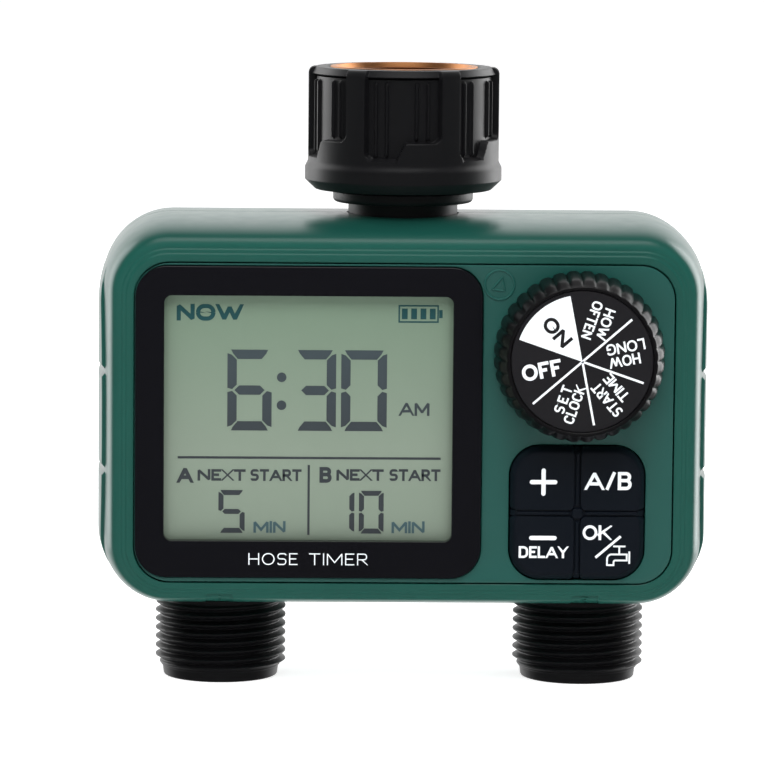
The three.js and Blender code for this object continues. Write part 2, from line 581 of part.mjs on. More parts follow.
// ---------------------------------------------------------------- water way
// The inlet stem runs down the middle and feeds both valves through a cross arm.
function inletStem() {
  const { radius, neck, bore, floor, armRadius, armBore, armReach } = STEM;
  const flange = {
    radius: NUT.bore - 2 * CLEARANCE, from: NUT.floorTop + 0.2, to: WASHER.from - FILTER.rim - 0.2,
  };
  const neckFoot = HOUSING.top - HOUSING.topRounding / 2;
  const trunk = turned([
    [0, floor], [radius, floor], [radius, neckFoot - 1.5], [neck, neckFoot], [neck, flange.from],
    [flange.radius, flange.from], [flange.radius, flange.to], [0, flange.to],
  ]);
  const collarSeat = tube(neck - 1, neck + 1, COLLAR.from - FIT_GAP, COLLAR.to + FIT_GAP);
  const arm = rod(armRadius, -armReach, armReach, { axis: 'x', at: [0, 0, VALVE.gallery] });
  const grooves = SIDES.map(([, side]) => (
    tube(TEE_RING.groove, armRadius + 1, ...grown([side * TEE_RING.x, side * TEE_RING.x], TEE_RING.grooveHalf),
      { axis: 'x', at: [0, 0, VALVE.gallery] })
  ));
  const armHole = rod(armBore, -REACH, REACH, { axis: 'x', at: [0, 0, VALVE.gallery], segments: ROUND_SMALL });
  const stemHole = rod(bore, floor + WALL, 2 * REACH);
  const filterSeat = rod(FILTER.radius + CLEARANCE, FILTER.bottom - CLEARANCE, 2 * REACH);
  return cut(join(trunk, arm), collarSeat, ...grooves, armHole, stemHole, filterSeat);
}

function stemCollar() {
  const { radius, from, to, chamfer } = COLLAR;
  const inner = STEM.neck - 1 + 2 * FIT_GAP;
  return turned([
    [inner, from], [radius - chamfer, from], [radius, from + chamfer], [radius, to], [inner, to], [inner, from],
  ]);
}

// A cup of fine screen that hangs in the stem's mouth from a rim under the washer.
function inletFilter() {
  const { radius, bottom, wall, rim } = FILTER;
  const rimTop = WASHER.from - FIT_GAP;
  return turned([
    [0, bottom], [radius - 1, bottom], [radius, rimTop - rim], [WASHER.outer, rimTop - rim],
    [WASHER.outer, rimTop], [radius - wall, rimTop], [radius - 1 - wall, bottom + wall], [0, bottom + wall],
  ]);
}

addPiece('inlet_stem', 'blackPlastic', inletStem());
addPiece('stem_collar', 'blackPlastic', stemCollar());
addPiece('inlet_filter', 'steel', inletFilter());
addPiece('inlet_washer', 'rubber', tube(WASHER.inner, WASHER.outer, WASHER.from, WASHER.to));

// An outlet's threaded spout, its ledge under the case floor and the valve chamber above, as one moulding.
function valveBody(side) {
  const at = [side * OUTLET_X, 0, 0];
  const { radius, wall, floor, rim, seatTop, seatRadius, gallery } = VALVE;
  const { threadFrom, threadTo, endRadius, bore, seatBore } = OUTLET;
  const { root } = PIPE_THREAD;
  const thread = screw(PIPE_THREAD, threadFrom, threadTo, { at: [side * OUTLET_X, 0] });
  const core = root - FIT_GAP; // under the thread, so that the two never share a surface
  const shank = turned([
    [0, 0], [endRadius - 0.6, 0], [endRadius, 0.6], [endRadius, threadFrom + 0.2], [core, threadFrom + 0.6],
    [core, threadTo - 0.4], [root, threadTo - 0.2], [root, LEDGE.from], [LEDGE.radius, LEDGE.from],
    [LEDGE.radius, LEDGE.to], [root, LEDGE.to], [root, floor], [radius, floor], [radius, rim], [0, rim],
  ], { at });
  // A round shape along the cross arm between two distances from the middle of the timer.
  const across = (size, inner, outer, segments = ROUND) => {
    const [from, to] = [side * inner, side * outer].sort((a, b) => a - b);
    return rod(size, from, to, { axis: 'x', at: [0, 0, gallery], segments });
  };
  const socket = across(SOCKET.radius, SOCKET.inner, OUTLET_X - radius / 2);
  const armHole = across(STEM.armRadius + FIT_GAP, SOCKET.inner - 1, STEM.armReach + CLEARANCE);
  const port = across(STEM.armBore, SOCKET.inner, OUTLET_X - seatRadius - wall, ROUND_SMALL);
  const chamber = rod(radius - wall, floor + wall, REACH, { at });
  const seatTube = rod(seatRadius, floor + wall / 2, seatTop, { at });
  const outletHole = rod(bore, -1, floor - 2 * wall, { at });
  const seatHole = rod(seatBore, 0, REACH, { at });
  const outside = cut(join(shank, thread, socket), chamber);
  return cut(join(outside, seatTube), armHole, port, outletHole, seatHole);
}

// Rubber diaphragm that closes the valve seat; its bead lies on the chamber's rim.
function diaphragm(options) {
  const { under, over, beadFrom, beadTo, bead, waist, disc } = DIAPHRAGM;
  return turned([
    [0, under], [disc, under], [disc + 1, over], [waist, beadFrom], [bead, beadFrom], [bead, beadTo],
    [waist, beadTo], [disc + 0.6, beadTo - 0.4], [disc - 0.5, over], [0, over],
  ], options);
}

// Bonnet over the diaphragm, drawn out upward into the closed tube that guides the plunger.
function bonnet(options) {
  const { from, skirtRadius, ceiling, roof, guideWall } = BONNET;
  const { tubeRadius, tubeTop, plungerRadius, slide } = SOLENOID;
  const guide = plungerRadius + slide;
  return turned([
    [0, tubeTop], [tubeRadius, tubeTop], [tubeRadius, roof], [VALVE.radius, roof], [VALVE.radius, from],
    [skirtRadius, from], [skirtRadius, ceiling], [guide, ceiling], [guide, tubeTop - guideWall],
    [0, tubeTop - guideWall],
  ], options);
}

// Bent strip that closes the coil's magnetic circuit: two arms joined behind the coil.
function yoke(x) {
  const { halfWidth, front, back, from, to, sheet } = YOKE;
  const width = grown([x, x], halfWidth);
  const strip = join(
    block(width, [front, back], [from, from + sheet]),
    block(width, [front, back], [to - sheet, to]),
    block(width, [back - sheet, back], [from, to]),
  );
  const options = { at: [x, 0, 0], segments: ROUND_HIDDEN };
  return strip.subtract(rod(SOLENOID.tubeRadius + CLEARANCE, from - sheet, to + sheet, options));
}

for (const [letter, side] of SIDES) {
  const x = side * OUTLET_X;
  const upright = { at: [x, 0, 0], segments: ROUND_HIDDEN };
  const alongArm = { axis: 'x', at: [0, 0, VALVE.gallery], segments: ROUND_HIDDEN };
  const { tubeRadius, coilRadius, coil, plungerRadius } = SOLENOID;
  addPiece(`valve_body_${letter}`, 'blackPlastic', valveBody(side));
  addPiece(`feed_o_ring_${letter}`, 'rubber',
    ring(TEE_RING.middle, TEE_RING.thick, side * TEE_RING.x, alongArm));
  addPiece(`diaphragm_${letter}`, 'rubber', diaphragm(upright));
  addPiece(`bonnet_${letter}`, 'blackPlastic', bonnet(upright));
  addPiece(`plunger_${letter}`, 'steel', rod(plungerRadius, PLUNGER.from, PLUNGER.to, upright));
  addPiece(`plunger_spring_${letter}`, 'steel',
    coilSpring([x, 0], SPRING.radius, SPRING.radius, SPRING.heights, SPRING.turns, SPRING.wire));
  addPiece(`solenoid_coil_${letter}`, 'copper', tube(tubeRadius + 2.5 * FIT_GAP, coilRadius, ...coil, upright));
  addPiece(`solenoid_yoke_${letter}`, 'steel', yoke(x));
}

// ---------------------------------------------------------------- swivel nut
// A vertical wedge of a cylindrical wall, between two angles counted from the front towards +X.
function sector(inner, outer, startDegrees, endDegrees, [z0, z1]) {
  const [start, end] = [startDegrees, endDegrees].map((degrees) => THREE.MathUtils.degToRad(degrees - 90));
  const outline = new THREE.Shape();
  outline.absarc(0, 0, outer, start, end, false);
  outline.absarc(0, 0, inner, end, start, true);
  const extrusion = { depth: z1 - z0, bevelEnabled: false, curveSegments: CORNER_STEPS };
  const wedge = new THREE.ExtrudeGeometry(outline, extrusion);
  return asSolid(wedge.translate(0, 0, z0));
}

const LAND_PITCH = 360 / LAND.count;
const POCKET_WIDTH = LAND_PITCH - 2 * LAND.halfWidth;
const POCKET_OVERLAP = 0.5; // degrees shared by the deep and the shallow part of a pocket

function nutBlank() {
  const { radius, flange, foot, bottom, top, bore, floorTop } = NUT;
  const hole = STEM.neck + FIT_GAP;
  const chamfer = 0.7;
  return turned([
    [hole, bottom], [foot, bottom], [flange, FLANGE.from], [flange, FLANGE.to], [radius, FLANGE.shoulder],
    [radius, POCKET.top], [radius - 1, top], [bore + chamfer, top], [bore, top - chamfer], [bore, floorTop],
    [hole, floorTop], [hole, bottom],
  ], { segments: ROUND_LARGE });
}

// Smooth lands stand between pockets; each pocket has a stepped floor and two upright ribs.
function swivelNut() {
  const { floorRadius, top, deep, shallow, step } = POCKET;
  let nut = nutBlank();
  for (let i = 0; i < LAND.count; i += 1) {
    const start = LAND.first + LAND_PITCH * i + LAND.halfWidth;
    const split = start + step * POCKET_WIDTH;
    const beyond = NUT.flange + 1;
    const deepPart = sector(floorRadius, beyond, start, split, [deep, top]);
    const shallowStart = split - POCKET_OVERLAP;
    const shallowPart = sector(floorRadius, beyond, shallowStart, start + POCKET_WIDTH, [shallow, top]);
    const ribs = RIB.places.map((place) => {
      const foothold = place < step ? deep : shallow;
      const middle = start + place * POCKET_WIDTH;
      const [inner, outer] = [floorRadius - RIB.sunk, NUT.radius - RIB.sunk];
      const heights = [foothold - RIB.sunk, top - 2 * RIB.sunk];
      return sector(inner, outer, middle - RIB.halfWidth, middle + RIB.halfWidth, heights);
    });
    nut = join(cut(nut, deepPart, shallowPart), ...ribs);
  }
  return nut;
}

function brassInsert() {
  const { outer, from, to, leadIn } = INSERT;
  const sleeve = rod(outer, from, to, { segments: ROUND_LARGE });
  const thread = screw(PIPE_THREAD, from - 1, to + 1);
  const mouth = turned([
    [0, to - leadIn], [PIPE_THREAD.root, to - leadIn], [PIPE_THREAD.crest + 0.2, to + 0.2], [0, to + 0.2],
  ]);
  return cut(sleeve, thread, mouth);
}

addPiece('swivel_nut', 'blackPlastic', swivelNut());
addPiece('brass_insert', 'brass', brassInsert());

// ---------------------------------------------------------------- battery compartment
function batteryCase() {
  const { halfWidth, z, front, wall } = CASE;
  const outside = block([-halfWidth, halfWidth], [front, REAR.bulgeFace - 2 * FIT_GAP], z);
  const inside = block([-halfWidth + wall, halfWidth - wall], [front + wall, REACH], grown(z, -wall));
  return outside.subtract(inside);
}

function cell(x, studUp) {
  const { radius, length, y, bottom, stud, studRise } = CELL;
  const bevel = 0.5;
  const shoulder = length - studRise;
  const heights = [
    [0, 0], [radius - bevel, 0], [radius, bevel], [radius, shoulder - bevel], [radius - bevel, shoulder],
    [stud, shoulder], [stud, length], [0, length],
  ];
  const upright = heights.map(([r, h]) => [r, studUp ? bottom + h : bottom + length - h]);
  return turned(upright, { at: [x, y, 0], segments: ROUND_HIDDEN });
}

// A conical spring between a cell's flat end and the contact plate beyond it, wide end on the plate.
function contactSpring(x, below) {
  const { wide, narrow, wire, turns, bottom, top } = CONTACT;
  const cellTop = CELL.bottom + CELL.length;
  const heights = below ? [bottom[1] + 0.2, CELL.bottom - FIT_GAP] : [cellTop + FIT_GAP, top[0] - 0.2];
  const [from, to] = below ? [wide, narrow] : [narrow, wide];
  return coilSpring([x, CELL.y], from, to, heights, turns, wire);
}

addPiece('battery_case', 'blackPlastic', batteryCase());

// Cells stand side by side with their studs alternately up and down.
const cellReach = ((CELL.count - 1) / 2) * CELL.pitch;
for (let i = 0; i < CELL.count; i += 1) {
  const x = i * CELL.pitch - cellReach;
  const studUp = i % 2 === 0;
  addPiece(`cell_${i + 1}`, 'cellWrap', cell(x, studUp));
  addPiece(`contact_spring_${i + 1}`, 'steel', contactSpring(x, studUp));
}
const contactX = grown([-cellReach, cellReach], CELL.radius - 1);
const contactY = grown([CELL.y, CELL.y], CONTACT.halfDepth);
addPiece('contact_plate_bottom', 'steel', block(contactX, contactY, CONTACT.bottom));
addPiece('contact_plate_top', 'steel', block(contactX, contactY, CONTACT.top));

// The door hangs from its knuckle; ribs stiffen its inner face and a latch bar hooks over the case's
// lower wall.
function batteryDoor() {
  const { inner, ribs, z } = DOOR;
  const panel = roundedPlate(DOOR, 0, [inner, REAR.doorFace]);
  const webY = [inner + 0.2, REAR.doorFace - 0.2];
  const knuckle = hingeBarrel(-HINGE.halfLength, HINGE.halfLength, webY, [z[1] - 1, HINGE.z]);
  const stiffeners = ribs.map((height) => (
    block([-26, 26], [inner - 1, inner + 0.5], grown([height, height], 0.6))
  ));
  const latchZ = CASE.z[0] + CASE.wall + CLEARANCE;
  const latch = block([-5, 5], [REAR.bulgeFace - 1.2, inner + 0.5], [latchZ, latchZ + 1.2]);
  return cut(join(panel, knuckle, ...stiffeners, latch), pinBore(HINGE.pinRadius + SHAFT.gap));
}

function doorPin() {
  const reach = HINGE.halfLength + HINGE.ear;
  return rod(HINGE.pinRadius, -reach, reach, { axis: 'x', at: [0, HINGE.y, HINGE.z], segments: ROUND_SMALL });
}

function doorSeal() {
  const margin = 1.3;
  const width = 0.9;
  const depth = grown([REAR.bulgeFace, DOOR.inner], -1.5 * FIT_GAP);
  const edge = { x: grown([-CASE.halfWidth, CASE.halfWidth], margin), z: grown(CASE.z, margin), radius: 2 };
  return roundedPlate(edge, 0, depth).subtract(roundedPlate(edge, -width, [0, REACH]));
}

addPiece('battery_door', 'green', batteryDoor());
addPiece('door_pin', 'steel', doorPin());
addPiece('door_seal', 'rubber', doorSeal());

export default timer;
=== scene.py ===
from collections import namedtuple
from math import acos, asin, atan2, ceil, cos, degrees, pi, radians, sin, sqrt

import bmesh
import bpy
from mathutils import Matrix, Vector


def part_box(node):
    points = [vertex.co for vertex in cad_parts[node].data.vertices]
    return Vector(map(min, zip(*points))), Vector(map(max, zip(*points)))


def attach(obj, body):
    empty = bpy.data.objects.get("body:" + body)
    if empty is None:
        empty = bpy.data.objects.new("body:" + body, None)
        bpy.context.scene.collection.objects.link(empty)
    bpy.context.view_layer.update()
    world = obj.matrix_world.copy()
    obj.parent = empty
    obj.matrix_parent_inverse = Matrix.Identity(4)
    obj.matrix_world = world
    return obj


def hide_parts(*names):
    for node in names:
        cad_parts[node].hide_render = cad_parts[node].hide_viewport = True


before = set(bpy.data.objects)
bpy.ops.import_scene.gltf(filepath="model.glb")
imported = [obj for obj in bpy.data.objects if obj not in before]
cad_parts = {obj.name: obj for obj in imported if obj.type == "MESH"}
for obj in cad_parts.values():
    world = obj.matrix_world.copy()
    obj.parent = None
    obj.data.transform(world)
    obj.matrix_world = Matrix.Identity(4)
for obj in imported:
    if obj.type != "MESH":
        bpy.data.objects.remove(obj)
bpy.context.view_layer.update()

MM = 0.001
Box = namedtuple("Box", "x0 x1 y0 y1 z0 z1")


def cad(node):
    """The box of a CAD node, in millimetres."""
    low, high = (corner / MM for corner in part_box(node))
    return Box(low.x, high.x, low.y, high.y, low.z, high.z)


# ---------------------------------------------------------------- driving dimensions
PARTING_GAP = 0.15  # half the gap between the two housing shells
WALL = 2.2
PIPE = {"crest": 13.2, "root": 12.06, "pitch": 1.814}  # G 3/4 thread

HALF_DEPTH = 26.0  # of the case, without the battery bulge
CASE = {"half_width": 60.4, "bottom": 17.0, "top": 94.3, "radius": 14.0}
CASE_LOSS = {"half_width": 4.4, "bottom": 3.4, "top": 5.2, "radius": 4.6}  # drawn in at the front and back
CROWN_POWER = 2.5  # of the superellipse that rounds the case from front to back

PANEL = cad("face_panel")
PANEL_RADIUS = 6.8
WINDOW = cad("display_window")
WINDOW_RADIUS = 6.2
OPENING = Box(-47.4, 9.5, WINDOW.y0, WINDOW.y1, 31.1, 79.8)  # the clear part of the window
OPENING_RADIUS = 1.5
FRONT = PANEL.y0  # the front plane of the case
KNOB = cad("dial_knob")
DISC = cad("dial_face")
DIAL_X = (DISC.x0 + DISC.x1) / 2
DIAL_Z = (DISC.z0 + DISC.z1) / 2
KEYS = {name: cad(name) for name in ("key_plus", "key_outlet", "key_minus", "key_ok")}
NUT = cad("swivel_nut")
BRASS = cad("brass_insert")
OUTLET_X = 36.3


# ---------------------------------------------------------------- shapes
class Shape:
    """Points in millimetres and the faces that join them."""

    def __init__(self, points=(), faces=()):
        self.points = [Vector(p) for p in points]
        self.faces = [tuple(f) for f in faces]

    def __add__(self, other):
        start = len(self.points)
        moved = [tuple(i + start for i in face) for face in other.faces]
        return Shape(self.points + other.points, self.faces + moved)

    def mapped(self, change):
        return Shape([change(p) for p in self.points], self.faces)

    def moved(self, x=0.0, y=0.0, z=0.0):
        shift = Vector((x, y, z))
        return self.mapped(lambda p: p + shift)


def together(shapes):
    return sum(shapes, Shape())


def skin(rings, loop=False, caps=(True, True)):
    """Joins rings of equally many points, each to the next. A loop joins the last ring to the first."""
    count = len(rings[0])
    faces = []
    for r in range(len(rings) if loop else len(rings) - 1):
        first, second = r * count, ((r + 1) % len(rings)) * count
        for i in range(count):
            j = (i + 1) % count
            faces.append((first + i, first + j, second + j, second + i))
    if not loop:
        if caps[0]:
            faces.append(tuple(range(count))[::-1])
        if caps[1]:
            faces.append(tuple(range((len(rings) - 1) * count, len(rings) * count)))
    return Shape([p for ring in rings for p in ring], faces)


def rounded(path, closed=False, steps=5):
    """A path of (a, b) or (a, b, radius) corners, with an arc in place of each corner that has a radius."""
    points = []
    count = len(path)
    for i, corner in enumerate(path):
        here = Vector(corner[:2])
        radius = corner[2] if len(corner) > 2 else 0
        if not radius or (not closed and i in (0, count - 1)):
            points.append(tuple(here))
            continue
        back = (Vector(path[i - 1][:2]) - here).normalized()
        ahead = (Vector(path[(i + 1) % count][:2]) - here).normalized()
        half = acos(max(-1, min(1, back.dot(ahead)))) / 2
        reach = radius / max(sin(half) / cos(half), 1e-6) if half < pi / 2 - 1e-4 else 0
        if not reach:
            points.append(tuple(here))
            continue
        start, end = here + back * reach, here + ahead * reach
        centre = here + (back + ahead).normalized() * (radius / sin(half))
        a0 = atan2(start.y - centre.y, start.x - centre.x)
        sweep = (atan2(end.y - centre.y, end.x - centre.x) - a0 + pi) % (2 * pi) - pi
        for k in range(steps + 1):
            angle = a0 + sweep * k / steps
            points.append((centre.x + radius * cos(angle), centre.y + radius * sin(angle)))
    return points


AXES = {
    "z": lambda r, h, a: (r * cos(a), r * sin(a), h),
    "y": lambda r, h, a: (r * cos(a), h, r * sin(a)),
    "x": lambda r, h, a: (h, r * cos(a), r * sin(a)),
}


def turned(profile, axis="z", at=(0, 0, 0), steps=96):
    """A profile of (radius, height) pairs turned about an axis. It closes on itself or ends on the axis."""
    place = AXES[axis]
    loop = profile[0][0] > 1e-6 or profile[-1][0] > 1e-6
    rings = [[place(r, h, 2 * pi * i / steps) for i in range(steps)] for r, h in profile]
    return skin(rings, loop=loop, caps=(False, False)).moved(*at)


def rod(radius, start, end, edge=0.15, **where):
    profile = rounded([(0, start), (radius, start, edge), (radius, end, edge), (0, end)], steps=3)
    return turned(profile, **where)


def tube(inner, outer, start, end, edge=0.15, **where):
    corners = [(inner, start, edge), (outer, start, edge), (outer, end, edge), (inner, end, edge)]
    return turned(rounded(corners, closed=True, steps=3), **where)


def outline(x0, x1, z0, z1, radii, corner=10, side=0):
    """A rectangle with rounded corners as (x, z) points. Radii start at the lower right, anticlockwise."""
    radii = [radii] * 4 if isinstance(radii, (int, float)) else radii
    signs = [(1, -1), (1, 1), (-1, 1), (-1, -1)]
    points = []
    for k, ((sx, sz), radius) in enumerate(zip(signs, radii)):
        centre_x = x1 - radius if sx > 0 else x0 + radius
        centre_z = z1 - radius if sz > 0 else z0 + radius
        for i in range(corner + 1):
            angle = -pi / 2 + k * pi / 2 + (pi / 2) * i / corner
            points.append((centre_x + radius * cos(angle), centre_z + radius * sin(angle)))
    if not side:
        return points
    filled = []
    for k in range(4):
        arc = points[k * (corner + 1):(k + 1) * (corner + 1)]
        start, end = arc[-1], points[(k + 1) * (corner + 1) % len(points)]
        filled += arc
        for i in range(1, side + 1):
            share = i / (side + 1)
            filled.append((start[0] + (end[0] - start[0]) * share, start[1] + (end[1] - start[1]) * share))
    return filled


def at_depth(points, y):
    return [(x, y, z) for x, z in points]


def grow(x0, x1, z0, z1, by):
    return x0 - by, x1 + by, z0 - by, z1 + by


def limits_of(box):
    return box.x0, box.x1, box.z0, box.z1


def circle(x, z, radius, count):
    """Evenly spaced (x, z) points round a circle."""
    turns = [2 * pi * k / count for k in range(count)]
    return [(x + radius * cos(turn), z + radius * sin(turn)) for turn in turns]


def edge_steps(edge, steps=4):
    """(inset, depth) pairs down a quarter-round edge, from the face to the side."""
    angles = (pi / 2 * k / steps for k in range(steps + 1))
    return [(edge * (1 - sin(a)), edge * (1 - cos(a))) for a in angles]


def slab(x0, x1, z0, z1, radius, front, back, edge=0.3, back_edge=0.1, corner=10):
    """A plate with rounded corners and quarter-round edges; front is its face towards -Y."""
    def edge_rings(rim, face, into):
        rings = []
        for inset, depth in edge_steps(rim):
            points = outline(*grow(x0, x1, z0, z1, -inset), max(radius - inset, 0.05), corner)
            rings.append(at_depth(points, face + into * depth))
        return rings

    return skin(edge_rings(edge, front, 1) + edge_rings(back_edge, back, -1)[::-1])


def framed_slab(outer, outer_radius, inner, inner_radius, front, back, edge=0.3, corner=10):
    """A plate with one opening, both with rounded corners."""
    rings = []
    for inset, depth in edge_steps(edge):
        rings.append(at_depth(outline(*grow(*outer, -inset), outer_radius - inset, corner), front + depth))
    rings.append(at_depth(outline(*outer, outer_radius, corner), back))
    rings.append(at_depth(outline(*inner, inner_radius, corner), back))
    for inset, depth in edge_steps(edge * 0.5)[::-1]:
        rings.append(at_depth(outline(*grow(*inner, inset), inner_radius + inset, corner), front + depth))
    return skin(rings, loop=True)


def coil(centre, start_radius, end_radius, bottom, top, turns, wire, sides=12, steps=40):
    """A wire spring about Z, with rounded wire ends."""
    total = ceil(turns * steps)
    rings = []
    for k in range(total + 1):
        share = k / total
        angle = 2 * pi * turns * share
        radius = start_radius + (end_radius - start_radius) * share
        height = bottom + wire + (top - bottom - 2 * wire) * share
        size = wire * (0.6 if k in (0, total) else 1)
        ring = []
        for i in range(sides):
            turn = 2 * pi * i / sides
            reach = radius + size * cos(turn)
            x, y = centre[0] + reach * cos(angle), centre[1] + reach * sin(angle)
            ring.append((x, y, height + size * sin(turn)))
        rings.append(ring)
    return skin(rings)


def wire_path(points, radius, sides=8, closed=False):
    """A round bead along a path of points that lie in a plane of constant y."""
    rings = []
    count = len(points)
    for i, point in enumerate(points):
        before = Vector(points[i - 1] if closed or i else point)
        after = Vector(points[(i + 1) % count] if closed or i + 1 < count else point)
        along = (after - before).normalized()
        across = Vector((along.z, 0, -along.x))
        turns = (2 * pi * k / sides for k in range(sides))
        rings.append([Vector(point) + across * radius * cos(t) + Vector((0, radius * sin(t), 0))
                      for t in turns])
    return skin(rings, loop=closed)


def ease(value, low, high):
    """A smooth step from 0 at `low` to 1 at `high`."""
    t = max(0.0, min(1.0, (value - low) / (high - low)))
    return t * t * (3 - 2 * t)


MITRE_LIMIT = 0.6  # cosine of half the turn beyond which a corner is cut off square


def ribbon(path, width, y, thickness, closed=False):
    """A stroke of even width along a path of (x, z) points, with square ends."""
    path = [Vector(point) for point in path]
    count = len(path)
    half = width / 2
    rings = []
    for i, here in enumerate(path):
        ahead = (path[(i + 1) % count] - here).normalized() if closed or i + 1 < count else None
        before = (here - path[i - 1]).normalized() if closed or i else ahead
        ahead = ahead or before
        normals = [Vector((-way.y, way.x)) for way in (before, ahead)]
        across = (normals[0] + normals[1]).normalized()
        lean = max(0.25, across.dot(normals[0]))
        mitre = across * (half / lean)
        turns_left = before.x * ahead.y > before.y * ahead.x
        if lean >= MITRE_LIMIT:
            sides = [(here + mitre, here - mitre)]
        elif turns_left:
            sides = [(here + mitre, here - normal * half) for normal in normals]
        else:
            sides = [(here + normal * half, here - mitre) for normal in normals]
        for left, right in sides:
            rings.append([(left.x, y, left.y), (right.x, y, right.y), (right.x, y - thickness, right.y),
                          (left.x, y - thickness, left.y)])
    return skin(rings, loop=closed)


def flat_piece(points, y, thickness):
    """A flat outline of (x, z) points with a little thickness towards the viewer."""
    return skin([at_depth(points, y), at_depth(points, y - thickness)])


def capsule(start, end, width):
    """The (x, z) outline of a stroke with round ends."""
    angle = atan2(end[1] - start[1], end[0] - start[0])
    half = width / 2
    points = []
    for (x, z), turn in ((end, -pi / 2), (start, pi / 2)):
        for k in range(9):
            a = angle + turn + pi * k / 8
            points.append((x + half * cos(a), z + half * sin(a)))
    return points


# ---------------------------------------------------------------- finishes
def linear(*levels):
    """An sRGB colour of 0 to 255 levels as a linear RGBA."""
    shares = [level / 255 for level in levels]
    return tuple(c / 12.92 if c <= 0.04045 else ((c + 0.055) / 1.055) ** 2.4 for c in shares) + (1.0,)


class Finish:
    """A material under construction, with the record's slot that it belongs to."""

    def __init__(self, name, slot, **sockets):
        self.slot = slot
        self.material = bpy.data.materials.new(name)
        self.material.use_nodes = True
        self.tree = self.material.node_tree
        self.shader = self.tree.nodes["Principled BSDF"]
        self.where = self.add("ShaderNodeTexCoord").outputs["Object"]
        for socket, value in sockets.items():
            self.shader.inputs[socket.replace("_", " ")].default_value = value

    def add(self, kind, inputs=(), **settings):
        node = self.tree.nodes.new(kind)
        for key, value in settings.items():
            setattr(node, key, value)
        for key, value in dict(inputs).items():
            if isinstance(value, bpy.types.NodeSocket):
                self.tree.links.new(value, node.inputs[key])
            else:
                node.inputs[key].default_value = value
        return node

    def link(self, output, socket):
        self.tree.links.new(output, self.shader.inputs[socket])

    def noise(self, size, detail=3.0, stretch=None):
        """A noise whose features are about `size` millimetres across, as a 0 to 1 output."""
        where = self.where
        if stretch:
            where = self.add("ShaderNodeMapping", {"Vector": where, "Scale": stretch}).outputs["Vector"]
        inputs = {"Vector": where, "Scale": 1 / (size * MM), "Detail": detail}
        return self.add("ShaderNodeTexNoise", inputs).outputs["Fac"]

    def span(self, value, low, high, start=0.3, end=0.7):
        inputs = {"Value": value, "From Min": start, "From Max": end, "To Min": low, "To Max": high}
        return self.add("ShaderNodeMapRange", inputs).outputs["Result"]

    def blend(self, share, first, second):
        mix = self.add("ShaderNodeMix", data_type="RGBA")
        self.tree.links.new(share, mix.inputs[0])
        for index, value in ((6, first), (7, second)):
            if isinstance(value, bpy.types.NodeSocket):
                self.tree.links.new(value, mix.inputs[index])
            else:
                mix.inputs[index].default_value = value
        return mix.outputs[2]

    def height(self, axis, low, high):
        """0 to 1 along one axis between two places in millimetres."""
        split = self.add("ShaderNodeSeparateXYZ", {"Vector": self.where})
        return self.span(split.outputs[axis], 0, 1, low * MM, high * MM)

    def bump(self, height, depth):
        inputs = {"Height": height, "Distance": depth * MM}
        return self.add("ShaderNodeBump", inputs).outputs["Normal"]


def shade(color, factor):
    return tuple(c * factor for c in color[:3]) + (1.0,)


def moulded(name, slot, color, roughness, grain=0.25, depth=0.003, mottle=0.03, **sockets):
    """Moulded plastic or rubber: faint flow mottling, uneven gloss and a fine grain."""
    finish = Finish(name, slot, **sockets)
    cloud = finish.noise(14, detail=4)
    mottled = finish.blend(finish.span(cloud, 0, 1), shade(color, 1 - mottle), shade(color, 1 + mottle))
    finish.link(mottled, "Base Color")
    uneven = finish.noise(3.5, detail=5)
    finish.link(finish.span(uneven, roughness - 0.02, roughness + 0.02), "Roughness")
    finish.link(finish.bump(finish.noise(grain, detail=2), depth), "Normal")
    return finish


def metal(name, slot, color, roughness, stretch=(1, 1, 1), depth=0.003, size=0.4):
    """Machined or drawn metal: stretched tool marks and slight tarnish."""
    finish = Finish(name, slot, Metallic=1.0)
    tarnish = finish.span(finish.noise(5, detail=4), 0, 1)
    finish.link(finish.blend(tarnish, color, shade(color, 0.82)), "Base Color")
    marks = finish.noise(size, detail=3, stretch=stretch)
    finish.link(finish.span(marks, roughness - 0.06, roughness + 0.1), "Roughness")
    finish.link(finish.bump(marks, depth), "Normal")
    return finish


def lcd_finish(name, slot, lower, upper, roughness=0.3, speckle=0.012):
    """The display's film or its segments, blended by height from a lower to an upper colour, with faint
    blotches. On the film the darker, greener top is painted shade under the window's upper edge.
    """
    finish = Finish(name, slot, Coat_Weight=0.4, Coat_Roughness=0.08)
    # Painted shade: on the film this blend by height darkens the top, where the window's upper edge shades
    # it.
    base = finish.blend(finish.height("Z", OPENING.z0 + 18, OPENING.z1), lower, upper)
    cloud = finish.span(finish.noise(16, detail=5), 1 - speckle, 1 + speckle)
    tinted = finish.add("ShaderNodeVectorMath", operation="SCALE")
    finish.tree.links.new(base, tinted.inputs[0])
    finish.tree.links.new(cloud, tinted.inputs["Scale"])
    finish.link(tinted.outputs[0], "Base Color")
    finish.link(finish.span(finish.noise(20), roughness - 0.01, roughness + 0.01), "Roughness")
    return finish


def board_finish():
    """Solder mask over copper tracks."""
    finish = Finish("board_mask", "circuit_board", Roughness=0.35)
    tracks = finish.add("ShaderNodeTexBrick", {
        "Vector": finish.where, "Scale": 260.0, "Mortar Size": 0.06, "Color1": linear(22, 74, 44),
        "Color2": linear(18, 64, 38), "Mortar": linear(58, 122, 66),
    })
    finish.link(tracks.outputs["Color"], "Base Color")
    finish.link(finish.bump(tracks.outputs["Fac"], 0.03), "Normal")
    return finish


def winding_finish():
    """Enamelled wire laid in fine turns."""
    finish = metal("copper_wire", "copper_winding", linear(190, 104, 58), 0.35)
    turns = finish.add("ShaderNodeTexWave", {"Vector": finish.where, "Scale": 700.0, "Distortion": 0.4},
                       bands_direction="Z")
    finish.link(finish.bump(turns.outputs["Fac"], 0.12), "Normal")
    return finish


